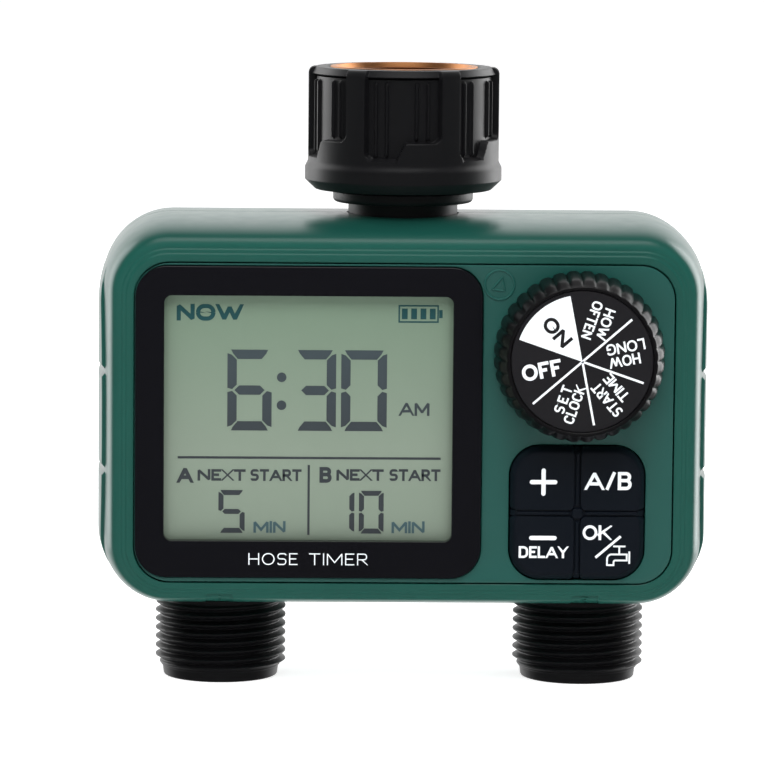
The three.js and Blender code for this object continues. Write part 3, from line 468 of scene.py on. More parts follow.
def wrap_finish():
    """A cell's printed sleeve: a dark body with a copper-coloured top band."""
    finish = Finish("cell_sleeve", "cell_wrap", Metallic=0.3, Coat_Weight=0.5, Coat_Roughness=0.1)
    scuff = finish.span(finish.noise(2.5, detail=5), 0, 1)
    body = finish.blend(scuff, linear(34, 38, 46), linear(44, 48, 58))
    band = finish.blend(scuff, linear(176, 118, 62), linear(190, 130, 72))
    finish.link(finish.blend(finish.height("Z", 66.2, 66.3), body, band), "Base Color")
    finish.link(finish.span(scuff, 0.25, 0.4), "Roughness")
    finish.link(finish.bump(finish.noise(1.2), 0.004), "Normal")
    return finish


GREEN = moulded("green_housing", "housing_green", linear(24, 77, 68), 0.3)
PANEL_GREEN = moulded("green_panel", "housing_green", linear(26, 80, 73), 0.46)
BLACK = moulded("black_plastic", "black_plastic", linear(15, 15, 17), 0.44, grain=0.3, depth=0.006)
KNOB_BLACK = moulded("dial_black", "black_plastic", linear(11, 10, 12), 0.38, grain=0.5, depth=0.004)
WINDOW_BLACK = moulded("window_black", "window_black", linear(13, 13, 17), 0.12, depth=0.0006, mottle=0.02)
RUBBER = moulded("black_rubber", "black_rubber", linear(9, 16, 25), 0.5, grain=0.15, depth=0.006)
WHITE_PRINT = moulded("white_print", "dial_print", linear(232, 238, 242), 0.5, depth=0.002, mottle=0.015)
DISC_BLACK = moulded("disc_black", "dial_print", linear(27, 26, 29), 0.4, depth=0.002, mottle=0.03)
WHITE_PLASTIC = moulded("white_plastic", "white_plastic", linear(225, 226, 222), 0.45, mottle=0.02)
# The film's darker upper colour is painted shade under the window's upper edge.
LCD_FILM = lcd_finish("lcd_film", "display_glass", linear(125, 139, 124), linear(107, 128, 109))
LCD_INK = lcd_finish("lcd_ink", "display_glass", linear(54, 59, 63), linear(62, 75, 80))
LCD_TEAL = lcd_finish("lcd_teal", "display_glass", linear(60, 86, 92), linear(16, 66, 68))
BRASS_METAL = metal("machined_brass", "brass", linear(206, 142, 92), 0.42, stretch=(1, 1, 8))
STEEL = metal("bright_steel", "bright_steel", linear(176, 178, 182), 0.28, stretch=(1, 1, 6))
BOARD = board_finish()
COPPER = winding_finish()
CELL_WRAP = wrap_finish()


# ---------------------------------------------------------------- pieces
SHARP_ANGLE = radians(32)
MERGE = 1e-7


def new_object(name, shape, finish, sharp=SHARP_ANGLE):
    mesh = bpy.data.meshes.new(name)
    mesh.from_pydata([p * MM for p in shape.points], [], shape.faces)
    work = bmesh.new()
    work.from_mesh(mesh)
    bmesh.ops.remove_doubles(work, verts=work.verts, dist=MERGE)
    bmesh.ops.dissolve_degenerate(work, edges=work.edges, dist=MERGE)
    bmesh.ops.recalc_face_normals(work, faces=work.faces)
    work.to_mesh(mesh)
    work.free()
    mesh.materials.append(finish.material)
    smooth(mesh, sharp)
    made = bpy.data.objects.new(name, mesh)
    bpy.context.scene.collection.objects.link(made)
    return made


def smooth(mesh, sharp=SHARP_ANGLE):
    mesh.shade_smooth()
    mesh.set_sharp_from_angle(angle=sharp)


def boolean(target, shape, operation="DIFFERENCE"):
    """Cuts a shape out of an object, or joins it on, for good."""
    tool = new_object("tool", shape, GREEN)
    change = target.modifiers.new("change", "BOOLEAN")
    change.operation = operation
    change.solver = "EXACT"
    change.object = tool
    graph = bpy.context.evaluated_depsgraph_get()
    mesh = bpy.data.meshes.new_from_object(target.evaluated_get(graph))
    target.modifiers.clear()
    target.data = mesh
    bpy.data.objects.remove(tool)
    smooth(mesh)
    return target


def settle(made, body, nodes=()):
    """Puts a finished object on its body, and hides the CAD nodes that it stands in for."""
    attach(made, body)
    if nodes:
        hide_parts(*nodes)
    return made


def piece(name, shape, finish, body="housing", nodes=(), sharp=SHARP_ANGLE):
    return settle(new_object(name, shape, finish, sharp), body, nodes)


# Letters as strokes in a cell one unit high: the cell's width, then paths of (across, up, corner radius).
GLYPHS = {
    "A": (0.8, [[(0, 0), (0.5, 1), (1, 0)], [(0.2, 0.3), (0.8, 0.3)]]),
    "B": (0.56, [[(0.4, 0.53), (0, 0.53), (0, 1), (0.94, 1, 0.22), (0.94, 0.53, 0.22), (0.4, 0.53)],
                 [(0, 0.53), (0, 0), (1, 0, 0.25), (1, 0.53, 0.25), (0.4, 0.53)]]),
    "C": (0.66, [[(0.97, 0.76), (0.97, 1, 0.22), (0, 1, 0.5), (0, 0, 0.5), (0.97, 0, 0.22), (0.97, 0.24)]]),
    "D": (0.64, [[(0.3, 0), (0, 0), (0, 1), (1, 1, 0.5), (1, 0, 0.5), (0.3, 0)]]),
    "E": (0.48, [[(1, 1), (0, 1), (0, 0), (1, 0)], [(0, 0.52), (0.9, 0.52)]]),
    "F": (0.46, [[(1, 1), (0, 1), (0, 0)], [(0, 0.5), (0.88, 0.5)]]),
    "G": (0.7, [[(0.97, 0.78), (0.97, 1, 0.2), (0, 1, 0.5), (0, 0, 0.5), (0.97, 0, 0.3), (0.97, 0.47),
                   (0.55, 0.47)]]),
    "H": (0.64, [[(0, 0), (0, 1)], [(1, 0), (1, 1)], [(0, 0.5), (1, 0.5)]]),
    "I": (0.0, [[(0, 0), (0, 1)]]),
    "K": (0.6, [[(0, 0), (0, 1)], [(1, 1), (0, 0.4)], [(0.3, 0.58), (1, 0)]]),
    "L": (0.46, [[(0, 1), (0, 0), (1, 0)]]),
    "M": (0.86, [[(0, 0), (0, 1), (0.5, 0.2), (1, 1), (1, 0)]]),
    "N": (0.68, [[(0, 0), (0, 1), (1, 0), (1, 1)]]),
    "O": (0.76, [[(0.5, 0), (0, 0, 0.5), (0, 1, 0.5), (1, 1, 0.5), (1, 0, 0.5), (0.5, 0)]]),
    "R": (0.56, [[(0, 0), (0, 1), (0.95, 1, 0.24), (0.95, 0.47, 0.24), (0, 0.47)], [(0.45, 0.47), (1, 0)]]),
    "S": (0.52, [[(0.98, 0.86), (0.98, 1, 0.14), (0, 1, 0.25), (0, 0.53, 0.2), (1, 0.5, 0.2), (1, 0, 0.25),
                  (0, 0, 0.14), (0, 0.14)]]),
    "T": (0.6, [[(0, 1), (1, 1)], [(0.5, 1), (0.5, 0)]]),
    "W": (1.06, [[(0, 1), (0.25, 0), (0.5, 0.9), (0.75, 0), (1, 1)]]),
    "X": (0.56, [[(0, 0), (1, 1)], [(0, 1), (1, 0)]]),
    "Y": (0.64, [[(0, 1), (0.5, 0.46), (1, 1)], [(0.5, 0.46), (0.5, 0)]]),
    "/": (0.42, [[(0.02, -0.1), (0.98, 1.1)]]),
}
CROSSING_LIFT = 0.002  # between strokes of a letter that cross, so that their faces never coincide


def carried_on(path, corners, weight):
    """Lengthens a letter's stroke at each end that lies on its cell's edge: by more if it is slanted."""
    longer = list(path)
    for end, near in ((0, 1), (-1, -2)):
        if {0, 1} & set(corners[end][:2]):
            along = (Vector(path[end]) - Vector(path[near])).normalized()
            slanted = min(abs(along.x), abs(along.y)) > 1e-4
            longer[end] = tuple(Vector(path[end]) + along * weight * (1.0 if slanted else 0.5))
    return longer


def trimmed(shape, z0, z1):
    return shape.mapped(lambda p: Vector((p.x, p.y, min(max(p.z, z0), z1))))


def lettering(text, box, weight, y=0.0, thickness=0.05, gap=0.1):
    """A line of text in strokes of even weight that fills a box of (x0, x1, z0, z1)."""
    x0, x1, z0, z1 = box
    rise = z1 - z0 - weight
    natural = sum(GLYPHS[letter][0] for letter in text) * rise
    room = x1 - x0 - len(text) * weight - (len(text) - 1) * gap * rise
    stretch = room / natural
    shapes = []
    start = x0 + weight / 2
    for letter in text:
        width, paths = GLYPHS[letter]
        width *= rise * stretch
        corner = 0.499 * width
        for order, path in enumerate(paths):
            placed = []
            for across, up, *radius in path:
                bend = min(radius[0] * rise, corner) if radius else 0
                placed.append((start + across * width, z0 + weight / 2 + up * rise, bend))
            ends_meet = placed[0] == placed[-1]
            points = rounded(placed, steps=8)
            points = points[:-1] if ends_meet else carried_on(points, path, weight)
            stroke = ribbon(points, weight, y - CROSSING_LIFT * order, thickness, closed=ends_meet)
            over = 0.1 * rise if letter == "/" else 0
            shapes.append(trimmed(stroke, z0 - over, z1 + over))
        start += width + weight + gap * rise
    return together(shapes)


# ---------------------------------------------------------------- housing
def crown(share):
    """Depth, and how far the case has drawn in, at a share of the way from the parting plane to the face."""
    angle = share * pi / 2
    return HALF_DEPTH * sin(angle) ** (2 / CROWN_POWER), 1 - cos(angle) ** (2 / CROWN_POWER)


def case_limits(drawn, by=0.0):
    half = CASE["half_width"] - CASE_LOSS["half_width"] * drawn + by
    bottom = CASE["bottom"] + CASE_LOSS["bottom"] * drawn - by
    top = CASE["top"] - CASE_LOSS["top"] * drawn + by
    return (-half, half, bottom, top), CASE["radius"] - CASE_LOSS["radius"] * drawn + by


def case_ring(y, drawn, by=0.0):
    limits, radius = case_limits(drawn, by)
    return at_depth(outline(*limits, radius, corner=16, side=14), y)


CROWN_STEPS = 22
RIM_START = 0.985  # share of the crown where the stepped rim round the panel begins
RIM_STEPS = ((0.17, 0.225), (0.47, 0.225))  # place, as a share of the way in to the groove, and height
STEP_RUN = 0.08
RIM_RISE = sum(height for _, height in RIM_STEPS)
RIM_RINGS = 36
GROOVE = 0.3


def rim_height(share):
    """Height of the rim above the crown's end, at a share of the way in to the panel's groove."""
    steps = sum(height * ease(share, place - STEP_RUN, place + STEP_RUN) for place, height in RIM_STEPS)
    return steps - 0.1 * ease(share, 0.95, 1.0)


def front_case():
    """The front shell: outer crown, stepped rim, panel pocket and inner wall, as one closed skin."""
    rings = []
    flatten = 1 - RIM_RISE / HALF_DEPTH
    for k in range(CROWN_STEPS + 1):
        depth, drawn = crown(RIM_START * k / CROWN_STEPS)
        rings.append(case_ring(-max(depth * flatten, PARTING_GAP), drawn))
    edge_drawn = crown(RIM_START)[1]
    (x0, x1, z0, z1), radius = case_limits(edge_drawn)
    groove = grow(PANEL.x0, PANEL.x1, PANEL.z0, PANEL.z1, GROOVE)
    for share in (k / RIM_RINGS for k in range(1, RIM_RINGS + 1)):
        limits = [a + (b - a) * share for a, b in zip((x0, x1, z0, z1), groove)]
        corner = radius + (PANEL_RADIUS + GROOVE - radius) * share
        points = outline(*limits, corner, corner=16, side=14)
        rings.append(at_depth(points, RIM_RISE - HALF_DEPTH - rim_height(share)))
    ledge = PANEL.y1 + GROOVE
    inner = grow(PANEL.x0, PANEL.x1, PANEL.z0, PANEL.z1, -4)
    rings.append(at_depth(outline(*groove, PANEL_RADIUS + GROOVE, corner=16, side=14), ledge))
    rings.append(at_depth(outline(*inner, PANEL_RADIUS - 4, corner=16, side=14), ledge))
    rings.append(at_depth(outline(*inner, PANEL_RADIUS - 4, corner=16, side=14), ledge + WALL))
    scale = (HALF_DEPTH - WALL) / HALF_DEPTH
    for k in range(8, -1, -1):
        depth, drawn = crown(0.62 * k / 8)
        rings.append(case_ring(-max(depth * scale, PARTING_GAP), drawn, -WALL))
    return skin(rings, loop=True)


def neck_holes():
    holes = [rod(11.3, 80, 110, edge=0)]
    holes += [rod(PIPE["root"] + 0.3, 8, 26, edge=0, at=(side * OUTLET_X, 0, 0)) for side in (-1, 1)]
    return together(holes)


def side_surface(y, z, by=0.0):
    """How far out the case's side wall is at a depth and height."""
    angle = asin(min(1, abs(y) / HALF_DEPTH) ** (CROWN_POWER / 2))
    (_, half, bottom, top), radius = case_limits(1 - cos(angle) ** (2 / CROWN_POWER), by)
    beyond = max(0, z - (top - radius), (bottom + radius) - z)
    return half - radius + sqrt(max(0, radius * radius - beyond * beyond))


GRIP = {
    "proud": 0.65, "half_depth": 20.5, "from": 25.0, "to": 84.3, "notches": (44.3, 64.0), "notch": 1.0,
    "fade": 7, "edge": 0.7, "sunk": 0.02, "inside": 0.8, "rows": 28, "columns": 18,
}


def grip_lift(y, z, low, high, reach):
    """How proud of the side wall a pad between `low` and `high` is: round at its rim, thin at both ends."""
    near = min(z - low, high - z, reach - y)
    fade = 0.15 + 0.85 * ease(min(z - GRIP["from"], GRIP["to"] - z), 0, GRIP["fade"])
    return GRIP["proud"] * fade * sqrt(1 - (1 - min(1, near / GRIP["edge"])) ** 2) - GRIP["sunk"]


def grip_pad(low, high, side, facing):
    middle, half = (GRIP["from"] + GRIP["to"]) / 2, (GRIP["to"] - GRIP["from"]) / 2
    rows = []
    for i in range(GRIP["rows"] + 1):
        z = low + (high - low) * i / GRIP["rows"]
        reach = GRIP["half_depth"] * sqrt(max(0.02, 1 - 0.35 * abs((z - middle) / half) ** 2.2))
        row = []
        for j in range(GRIP["columns"] + 1):
            y = PARTING_GAP + (reach - PARTING_GAP) * (1 - (1 - j / GRIP["columns"]) ** 1.4)
            row.append((side * (side_surface(y, z) + grip_lift(y, z, low, high, reach)), facing * y, z))
        back = [(side * (side_surface(y, z) - GRIP["inside"]), y, z) for _, y, _ in row[::-1]]
        rows.append(row + back)
    return skin(rows)


def side_pads(facing):
    """Grip pads proud of both side walls, on the front (-1) or rear (1) shell, with notches between."""
    half = GRIP["notch"] / 2
    starts = [GRIP["from"]] + [notch + half for notch in GRIP["notches"]]
    ends = [notch - half for notch in GRIP["notches"]] + [GRIP["to"]]
    return together(grip_pad(low, high, side, facing) for low, high in zip(starts, ends) for side in (-1, 1))


SCREW = {"boss": 3.6, "counterbore": 2.9, "seat": 14, "pilot": 1.5, "head": 14.2}


def screw_places():
    screws = [cad(f"housing_screw_{i}") for i in (1, 2, 3, 4)]
    return [((s.x0 + s.x1) / 2, (s.z0 + s.z1) / 2) for s in screws]


def at_screws(radius, start, end, steps=40):
    return together(rod(radius, start, end, edge=0, axis="y", at=(x, 0, z), steps=steps)
                    for x, z in screw_places())


LABEL = {"low": 17.9, "high": 20.3, "half_width": 2.8, "taper": 0.3, "depth": 0.8, "letter": 1.6}


def lower_edge(z):
    """Depth (a negative Y) of the front case's lower rounding at a height."""
    remains = max(0.0, 1 - (z - CASE["bottom"]) / CASE_LOSS["bottom"])
    rise = sin(acos(remains ** (CROWN_POWER / 2))) ** (2 / CROWN_POWER)
    return -(HALF_DEPTH - RIM_RISE) * rise


def label_recess(x):
    """A shallow tapered recess that follows the lower rounding above an outlet."""
    rows = []
    for k in range(13):
        share = k / 12
        z = LABEL["low"] + (LABEL["high"] - LABEL["low"]) * share
        half = LABEL["half_width"] - LABEL["taper"] * share
        floor_y = lower_edge(z) + LABEL["depth"]
        rows.append([(x - half, -HALF_DEPTH - 4, z), (x + half, -HALF_DEPTH - 4, z), (x + half, floor_y, z),
                     (x - half, floor_y, z)])
    return skin(rows)


def outlet_letter(letter, x):
    """A raised letter on the floor of the recess above an outlet."""
    middle = (LABEL["low"] + LABEL["high"]) / 2
    half = LABEL["letter"] / 2
    box = (x - 0.85 * half, x + 0.85 * half, middle - half, middle + half)
    flat = lettering(letter, box, 0.4, thickness=0.3)
    return flat.mapped(lambda p: Vector((p.x, lower_edge(p.z) + LABEL["depth"] + 0.05 + p.y, p.z)))


front = new_object("case_front", front_case(), GREEN)
boolean(front, at_screws(SCREW["boss"], -19, -PARTING_GAP), "UNION")
boolean(front, neck_holes())
boolean(front, label_recess(-OUTLET_X) + label_recess(OUTLET_X))
settle(front, "housing", ["front_shell"])
piece("grip_pads_front", side_pads(-1), GREEN)
piece("outlet_letters", outlet_letter("A", -OUTLET_X) + outlet_letter("B", OUTLET_X), GREEN)

# ---------------------------------------------------------------- rear shell
DOOR = cad("battery_door")
TRAY = cad("battery_case")
BULGE_FACE = 34.0
PIN = cad("door_pin")
HINGE_Y = (PIN.y0 + PIN.y1) / 2
HINGE_Z = (PIN.z0 + PIN.z1) / 2
BULGE = (-36.0, 36.0, 20.5, 90.4)
EAR = {"near": 14.3, "far": 17.3, "radius": 1.8}


def rear_half(by=0.0, scale=1.0):
    rings = []
    for k in range(CROWN_STEPS + 1):
        depth, drawn = crown(k / CROWN_STEPS)
        rings.append(case_ring(max(depth * scale, PARTING_GAP if by == 0 else -1), drawn, by))
    return skin(rings)


def hinge_ears():
    reach = EAR["radius"]
    limits = (BULGE_FACE - 1, HINGE_Y + reach, HINGE_Z - reach, HINGE_Z + reach)
    profile = outline(*limits, [1.75, 1.75, 0.2, 0.2], 8)
    spans = (sorted((side * EAR["near"], side * EAR["far"])) for side in (-1, 1))
    return together(skin([[(x, y, z) for y, z in profile] for x in span]) for span in spans)


REAR_CHANGES = [
    ("UNION", slab(*BULGE, 6, BULGE_FACE - 14, BULGE_FACE, edge=0.1, back_edge=1.2, corner=12)),
    ("DIFFERENCE", rear_half(-WALL, (HALF_DEPTH - WALL) / HALF_DEPTH)),
    ("DIFFERENCE", slab(*grow(*BULGE, -WALL), 4, 8, BULGE_FACE - WALL)),
    ("UNION", at_screws(SCREW["boss"], PARTING_GAP, 24.5)),
    ("DIFFERENCE", at_screws(SCREW["counterbore"], SCREW["seat"], 40)),
    ("DIFFERENCE", at_screws(SCREW["pilot"], -1, 20, steps=24)),
    ("DIFFERENCE", slab(*grow(*limits_of(TRAY), 0.3), 0.8, 20, 50)),
    ("DIFFERENCE", rod(2.1, -14.15, 14.15, edge=0, axis="x", at=(0, HINGE_Y, HINGE_Z), steps=32)),
    ("UNION", hinge_ears()),
    ("DIFFERENCE", neck_holes()),
]
rear = new_object("case_rear", rear_half(), GREEN)
for operation, shape in REAR_CHANGES:
    boolean(rear, shape, operation)
settle(rear, "housing", ["rear_shell"])
piece("grip_pads_rear", side_pads(1), GREEN)


def housing_screw(x, z):
    """A screw with a pointed shank and a domed head."""
    seat = SCREW["head"]
    shank = [(0, -10.8), (0.7, -10.8, 0.2), (1.25, -9.4), (1.25, seat)]
    head = [(2.6, seat, 0.1), (2.6, seat + 0.9, 0.5), (1.2, seat + 1.7, 2), (0, seat + 1.75)]
    return turned(rounded(shank + head), axis="y", at=(x, 0, z), steps=36)


for index, (x, z) in enumerate(screw_places(), start=1):
    screw = new_object(f"screw_{index}", housing_screw(x, z), STEEL)
    for half_x, half_z in ((1.6, 0.3), (0.3, 1.6)):
        boolean(screw, slab(x - half_x, x + half_x, z - half_z, z + half_z, 0.12, 15.0, 17, edge=0, corner=2))
    settle(screw, "housing", [f"housing_screw_{index}"])

# ---------------------------------------------------------------- front panel and display
def curve_outline(curve, points):
    spline = curve.splines.new("POLY")
    spline.points.add(len(points) - 1)
    for point, (x, z) in zip(spline.points, points):
        point.co = (x * MM, z * MM, 0, 1)
    spline.use_cyclic_u = True


def pierced_sheet(name, outlines, front_y, back_y, edge, finish):
    """A flat sheet with any number of holes and softened edges. The first outline is the outer one."""
    curve = bpy.data.curves.new(name, "CURVE")
    curve.dimensions = "2D"
    curve.fill_mode = "BOTH"
    curve.extrude = (back_y - front_y) / 2 * MM - edge * MM
    curve.bevel_depth = edge * MM
    curve.bevel_resolution = 2
    curve.offset = -edge * MM
    for points in outlines:
        curve_outline(curve, points)
    holder = bpy.data.objects.new(name, curve)
    bpy.context.scene.collection.objects.link(holder)
    graph = bpy.context.evaluated_depsgraph_get()
    mesh = bpy.data.meshes.new_from_object(holder.evaluated_get(graph))
    middle = (front_y + back_y) / 2 * MM
    mesh.transform(Matrix(((1, 0, 0, 0), (0, 0, -1, middle), (0, 1, 0, 0), (0, 0, 0, 1))))
    bpy.data.objects.remove(holder)
    work = bmesh.new()
    work.from_mesh(mesh)
    bmesh.ops.remove_doubles(work, verts=work.verts, dist=MERGE)
    bmesh.ops.recalc_face_normals(work, faces=work.faces)
    work.to_mesh(mesh)
    work.free()
    mesh.materials.clear()
    mesh.materials.append(finish.material)
    smooth(mesh)
    made = bpy.data.objects.new(name, mesh)
    bpy.context.scene.collection.objects.link(made)
    return made


PAD_BOX = (min(k.x0 for k in KEYS.values()), max(k.x1 for k in KEYS.values()),
           min(k.z0 for k in KEYS.values()), max(k.z1 for k in KEYS.values()))
PAD_RADIUS = 6.0
SHAFT_HOLE = 3.1
panel_outlines = [
    outline(*limits_of(PANEL), PANEL_RADIUS, corner=16),
    # The window reaches the panel's left edge, where only a sliver of the panel is left.
    outline(max(WINDOW.x0 - 0.12, PANEL.x0 + 0.05), WINDOW.x1 + 0.12, WINDOW.z0 - 0.12, WINDOW.z1 + 0.12,
            WINDOW_RADIUS, corner=16),
    outline(*grow(*PAD_BOX, 0.25), PAD_RADIUS + 0.25, corner=16),
    circle(DIAL_X, DIAL_Z, SHAFT_HOLE, 48),
]
panel_plate = pierced_sheet("panel_plate", panel_outlines, PANEL.y0, PANEL.y1, 0.12, PANEL_GREEN)
settle(panel_plate, "housing", ["face_panel"])

opening_limits = limits_of(OPENING)
bezel = framed_slab(limits_of(WINDOW), WINDOW_RADIUS, opening_limits, OPENING_RADIUS, WINDOW.y0, WINDOW.y1,
                    edge=0.3, corner=14)
piece("window_bezel", bezel, WINDOW_BLACK, nodes=["display_window"])

MARKER = {"angle": radians(138.7), "reach": 21.1, "radius": 2.9, "bead": 0.26, "fine_bead": 0.22}
marker_x = DIAL_X + MARKER["reach"] * cos(MARKER["angle"])
marker_z = DIAL_Z + MARKER["reach"] * sin(MARKER["angle"])


def dial_marker():
    """A raised circle with a triangle in it, which points away from the dial's centre."""
    rim = at_depth(circle(marker_x, marker_z, MARKER["radius"], 64), FRONT)
    corners = [(0.55, 1.5), (1.0, -1.2), (-1.55, -0.95)]
    triangle = [(marker_x + x, FRONT, marker_z + z) for x, z in corners]
    sides = []
    for start, end in zip(triangle, triangle[1:] + triangle[:1]):
        sides += [tuple(a + (b - a) * k / 6 for a, b in zip(start, end)) for k in range(6)]
    return wire_path(rim, MARKER["bead"], closed=True) + wire_path(sides, MARKER["fine_bead"], closed=True)


piece("dial_marker", dial_marker(), PANEL_GREEN)

LCD_CELL = cad("lcd_cell")
FILM_FRONT = WINDOW.y1 + 0.2
film = slab(*grow(*opening_limits, 0.7), 0.8, FILM_FRONT, LCD_CELL.y0 - 0.02, edge=0.1, corner=4)
piece("lcd_front_glass", film, LCD_FILM)

INK_Y = FILM_FRONT - 0.01
INK = 0.03


def segment_digit(digit, x0, x1, z0, z1, stroke):
    """A seven-segment figure with clipped outer corners and narrow mitred gaps between its bars."""
    lit = {"0": "abcdef", "1": "bc", "3": "abgcd", "5": "afgcd", "6": "afgcde"}[digit]
    gap, clip = 0.09 * stroke, 0.3 * stroke
    mid, half = (z0 + z1) / 2, stroke / 2

    def level(z_out, towards):
        inner = z_out + towards * stroke
        shoulder = (z_out + inner) / 2 - towards * 0.2 * half
        return [(x0 + clip + gap, z_out), (x1 - clip - gap, z_out), (x1 - half - gap, shoulder),
                (x1 - stroke - gap, inner), (x0 + stroke + gap, inner), (x0 + half + gap, shoulder)]

    def upright(x_out, towards, corner_z, up):
        inner = x_out + towards * stroke
        far = mid + up * gap
        return [(x_out, corner_z - up * (clip + gap)), (x_out, far + up * 0.3 * half),
                (x_out + towards * half, far), (inner, far + up * half),
                (inner, corner_z - up * (stroke + gap)),
                (x_out + towards * 0.45 * stroke, corner_z - up * (0.45 * stroke + gap))]

    inset = stroke * 0.75
    bars = {
        "a": level(z1, -1),
        "d": level(z0, 1),
        "g": [(x0 + inset, mid), (x0 + inset + half, mid + half), (x1 - inset - half, mid + half),
              (x1 - inset, mid), (x1 - inset - half, mid - half), (x0 + inset + half, mid - half)],
        "f": upright(x0, 1, z1, 1),
        "b": upright(x1, -1, z1, 1),
        "e": upright(x0, 1, z0, -1),
        "c": upright(x1, -1, z0, -1),
    }
    return together(flat_piece(bars[name], INK_Y, INK) for name in lit)


def rectangle(x0, x1, z0, z1):
    return flat_piece([(x0, z0), (x1, z0), (x1, z1), (x0, z1)], INK_Y, INK)


def battery_sign(x0, x1, z0, z1):
    """A battery outline with four bars and a terminal on its right."""
    line = 0.3
    body = x1 - 0.75
    sides = [(x0, body, z0, z0 + line), (x0, body, z1 - line, z1), (x0, x0 + line, z0 + line, z1 - line),
             (body - line, body, z0 + line, z1 - line), (body + 0.08, x1, z0 + 0.95, z1 - 0.95)]
    pitch = (body - x0 - 2 * line) / 4
    for k in range(4):
        start = x0 + line + pitch * k + pitch * 0.2
        sides.append((start, start + pitch * 0.62, z0 + line + 0.4, z1 - line - 0.4))
    return together(rectangle(*side) for side in sides)


DIGITS = [("6", -34.95, -26.2), ("3", -21.75, -13.5), ("0", -12.5, -3.45)]
clock = together(segment_digit(d, x0, x1, 52.85, 68.9, 1.85) for d, x0, x1 in DIGITS)
clock += together(flat_piece(circle(-24.25, z, 0.95, 24), INK_Y, INK) for z in (57.9, 63.45))
COUNTS = [("5", -36.6, -31.4), ("1", -12.6, -9.7), ("0", -8.8, -3.9)]
counts = together(segment_digit(d, x0, x1, 32.4, 40.95, 1.0) for d, x0, x1 in COUNTS)
rules = rectangle(-44.7, 7.3, 47.2, 47.66) + rectangle(-19.0, -18.55, 32.05, 46.05)


def lcd_word(text, x0, x1, z0, z1, weight=0.5):
    return lettering(text, (x0, x1, z0, z1), weight, INK_Y, INK)


piece("lcd_clock", clock, LCD_INK)
piece("lcd_counts", counts + rules, LCD_INK)
piece("lcd_words", together([
    lcd_word("AM", -0.95, 5.0, 55.95, 58.65),
    lcd_word("A", -44.7, -41.75, 42.35, 45.5, 0.74), lcd_word("B", -16.65, -14.25, 42.5, 45.65, 0.74),
    lcd_word("NEXT", -40.75, -31.25, 42.8, 45.1, 0.52), lcd_word("NEXT", -13.3, -3.95, 42.95, 45.25, 0.52),
    lcd_word("START", -30.3, -20.2, 42.8, 45.15), lcd_word("START", -2.8, 7.3, 42.95, 45.3),
]), LCD_INK)
piece("lcd_signs", together([
    lcd_word("NOW", -45.0, -32.05, 74.6, 77.9, 0.82), battery_sign(-1.3, 7.4, 74.45, 77.95),
    lcd_word("MIN", -29.65, -23.3, 32.45, 34.8, 0.5), lcd_word("MIN", -2.3, 4.25, 32.5, 34.9, 0.5),
]), LCD_TEAL)
CAPTION = [("HOSE", -30.6, -20.9), ("TIMER", -18.6, -7.05)]
caption = together(lettering(word, (x0, x1, 26.4, 28.75), 0.21, WINDOW.y0 - 0.005, 0.02, gap=0.26)
                   for word, x0, x1 in CAPTION)
piece("window_caption", caption, WHITE_PRINT)

# ---------------------------------------------------------------- dial
KNURLS = 36
BASE_RADIUS = (KNOB.x1 - KNOB.x0) / 2
SCALLOP_STEPS = 14  # points on each scallop


def knurled(radius, hollow, y):
    count = KNURLS * SCALLOP_STEPS
    ring = []
    for i in range(count):
        angle = 2 * pi * i / count
        dip = (1 - abs(sin(KNURLS * angle / 2))) ** 1.7
        reach = radius - hollow * dip
        ring.append((DIAL_X + reach * cos(angle), y, DIAL_Z + reach * sin(angle)))
    return ring


def knob():
    front_y, back_y = KNOB.y0, KNOB.y1
    rings = [knurled(BASE_RADIUS - 0.25, 0.55, back_y), knurled(BASE_RADIUS, 0.6, back_y - 0.3)]
    side = [(0.0, 0.6), (0.35, 0.62), (0.7, 0.6), (0.88, 0.55)]
    for share, hollow in side:
        rings.append(knurled(BASE_RADIUS - 0.75 * share, hollow, back_y - 0.6 - 7.4 * share))
    # (radius, how deep the scallops are, depth below the front)
    shoulder = [(16.0, 0.5, 2.3), (15.75, 0.42, 1.75), (15.4, 0.36, 1.2), (15.1, 0.28, 0.75),
                (14.95, 0.2, 0.5), (14.8, 0.12, 0.22), (14.6, 0.05, 0.06), (14.4, 0.0, 0.0),
                (14.15, 0, 0.03), (14.02, 0, 0.2)]
    for radius, hollow, below in shoulder:
        rings.append(knurled(radius, hollow, front_y + below))
    rings += [knurled(14.0, 0, DISC.y1 + 0.1), knurled(3.1, 0, DISC.y1 + 0.1), knurled(3.1, 0, back_y)]
    return skin(rings, loop=True)


def dial_disc():
    radius = (DISC.x1 - DISC.x0) / 2
    profile = rounded([(0, DISC.y1), (radius, DISC.y1, 0.1), (radius, DISC.y0, 0.15), (0, DISC.y0)])
    return turned(profile, axis="y", at=(DIAL_X, 0, DIAL_Z), steps=128)


PRINT_Y = DISC.y0 + 0.01
PRINT = 0.04
DIVIDER = {"bearings": (41, 221, 281, 341), "reach": 12.7, "width": 0.42}
SECTOR = {"start": 101, "end": 161, "reach": 13.1, "steps": 24}


def on_dial(shape, bearing, reach, rise):
    """A flat shape placed on the disc so that it reads from the rim towards the centre at a bearing."""
    angle = radians(bearing)
    inward = Vector((-cos(angle), 0, -sin(angle)))
    upward = Vector((sin(angle), 0, -cos(angle)))
    centre = Vector((DIAL_X, 0, DIAL_Z)) - inward * reach + upward * rise
    return shape.mapped(lambda p: centre + inward * p.x + upward * p.z + Vector((0, p.y, 0)))


def dial_word(text, bearing, length, height, rise=0.0, reach=8.4, gap=0.1, weight=0.37):
    box = (-length / 2, length / 2, -height / 2, height / 2)
    return on_dial(lettering(text, box, weight, PRINT_Y, PRINT, gap), bearing, reach, rise)


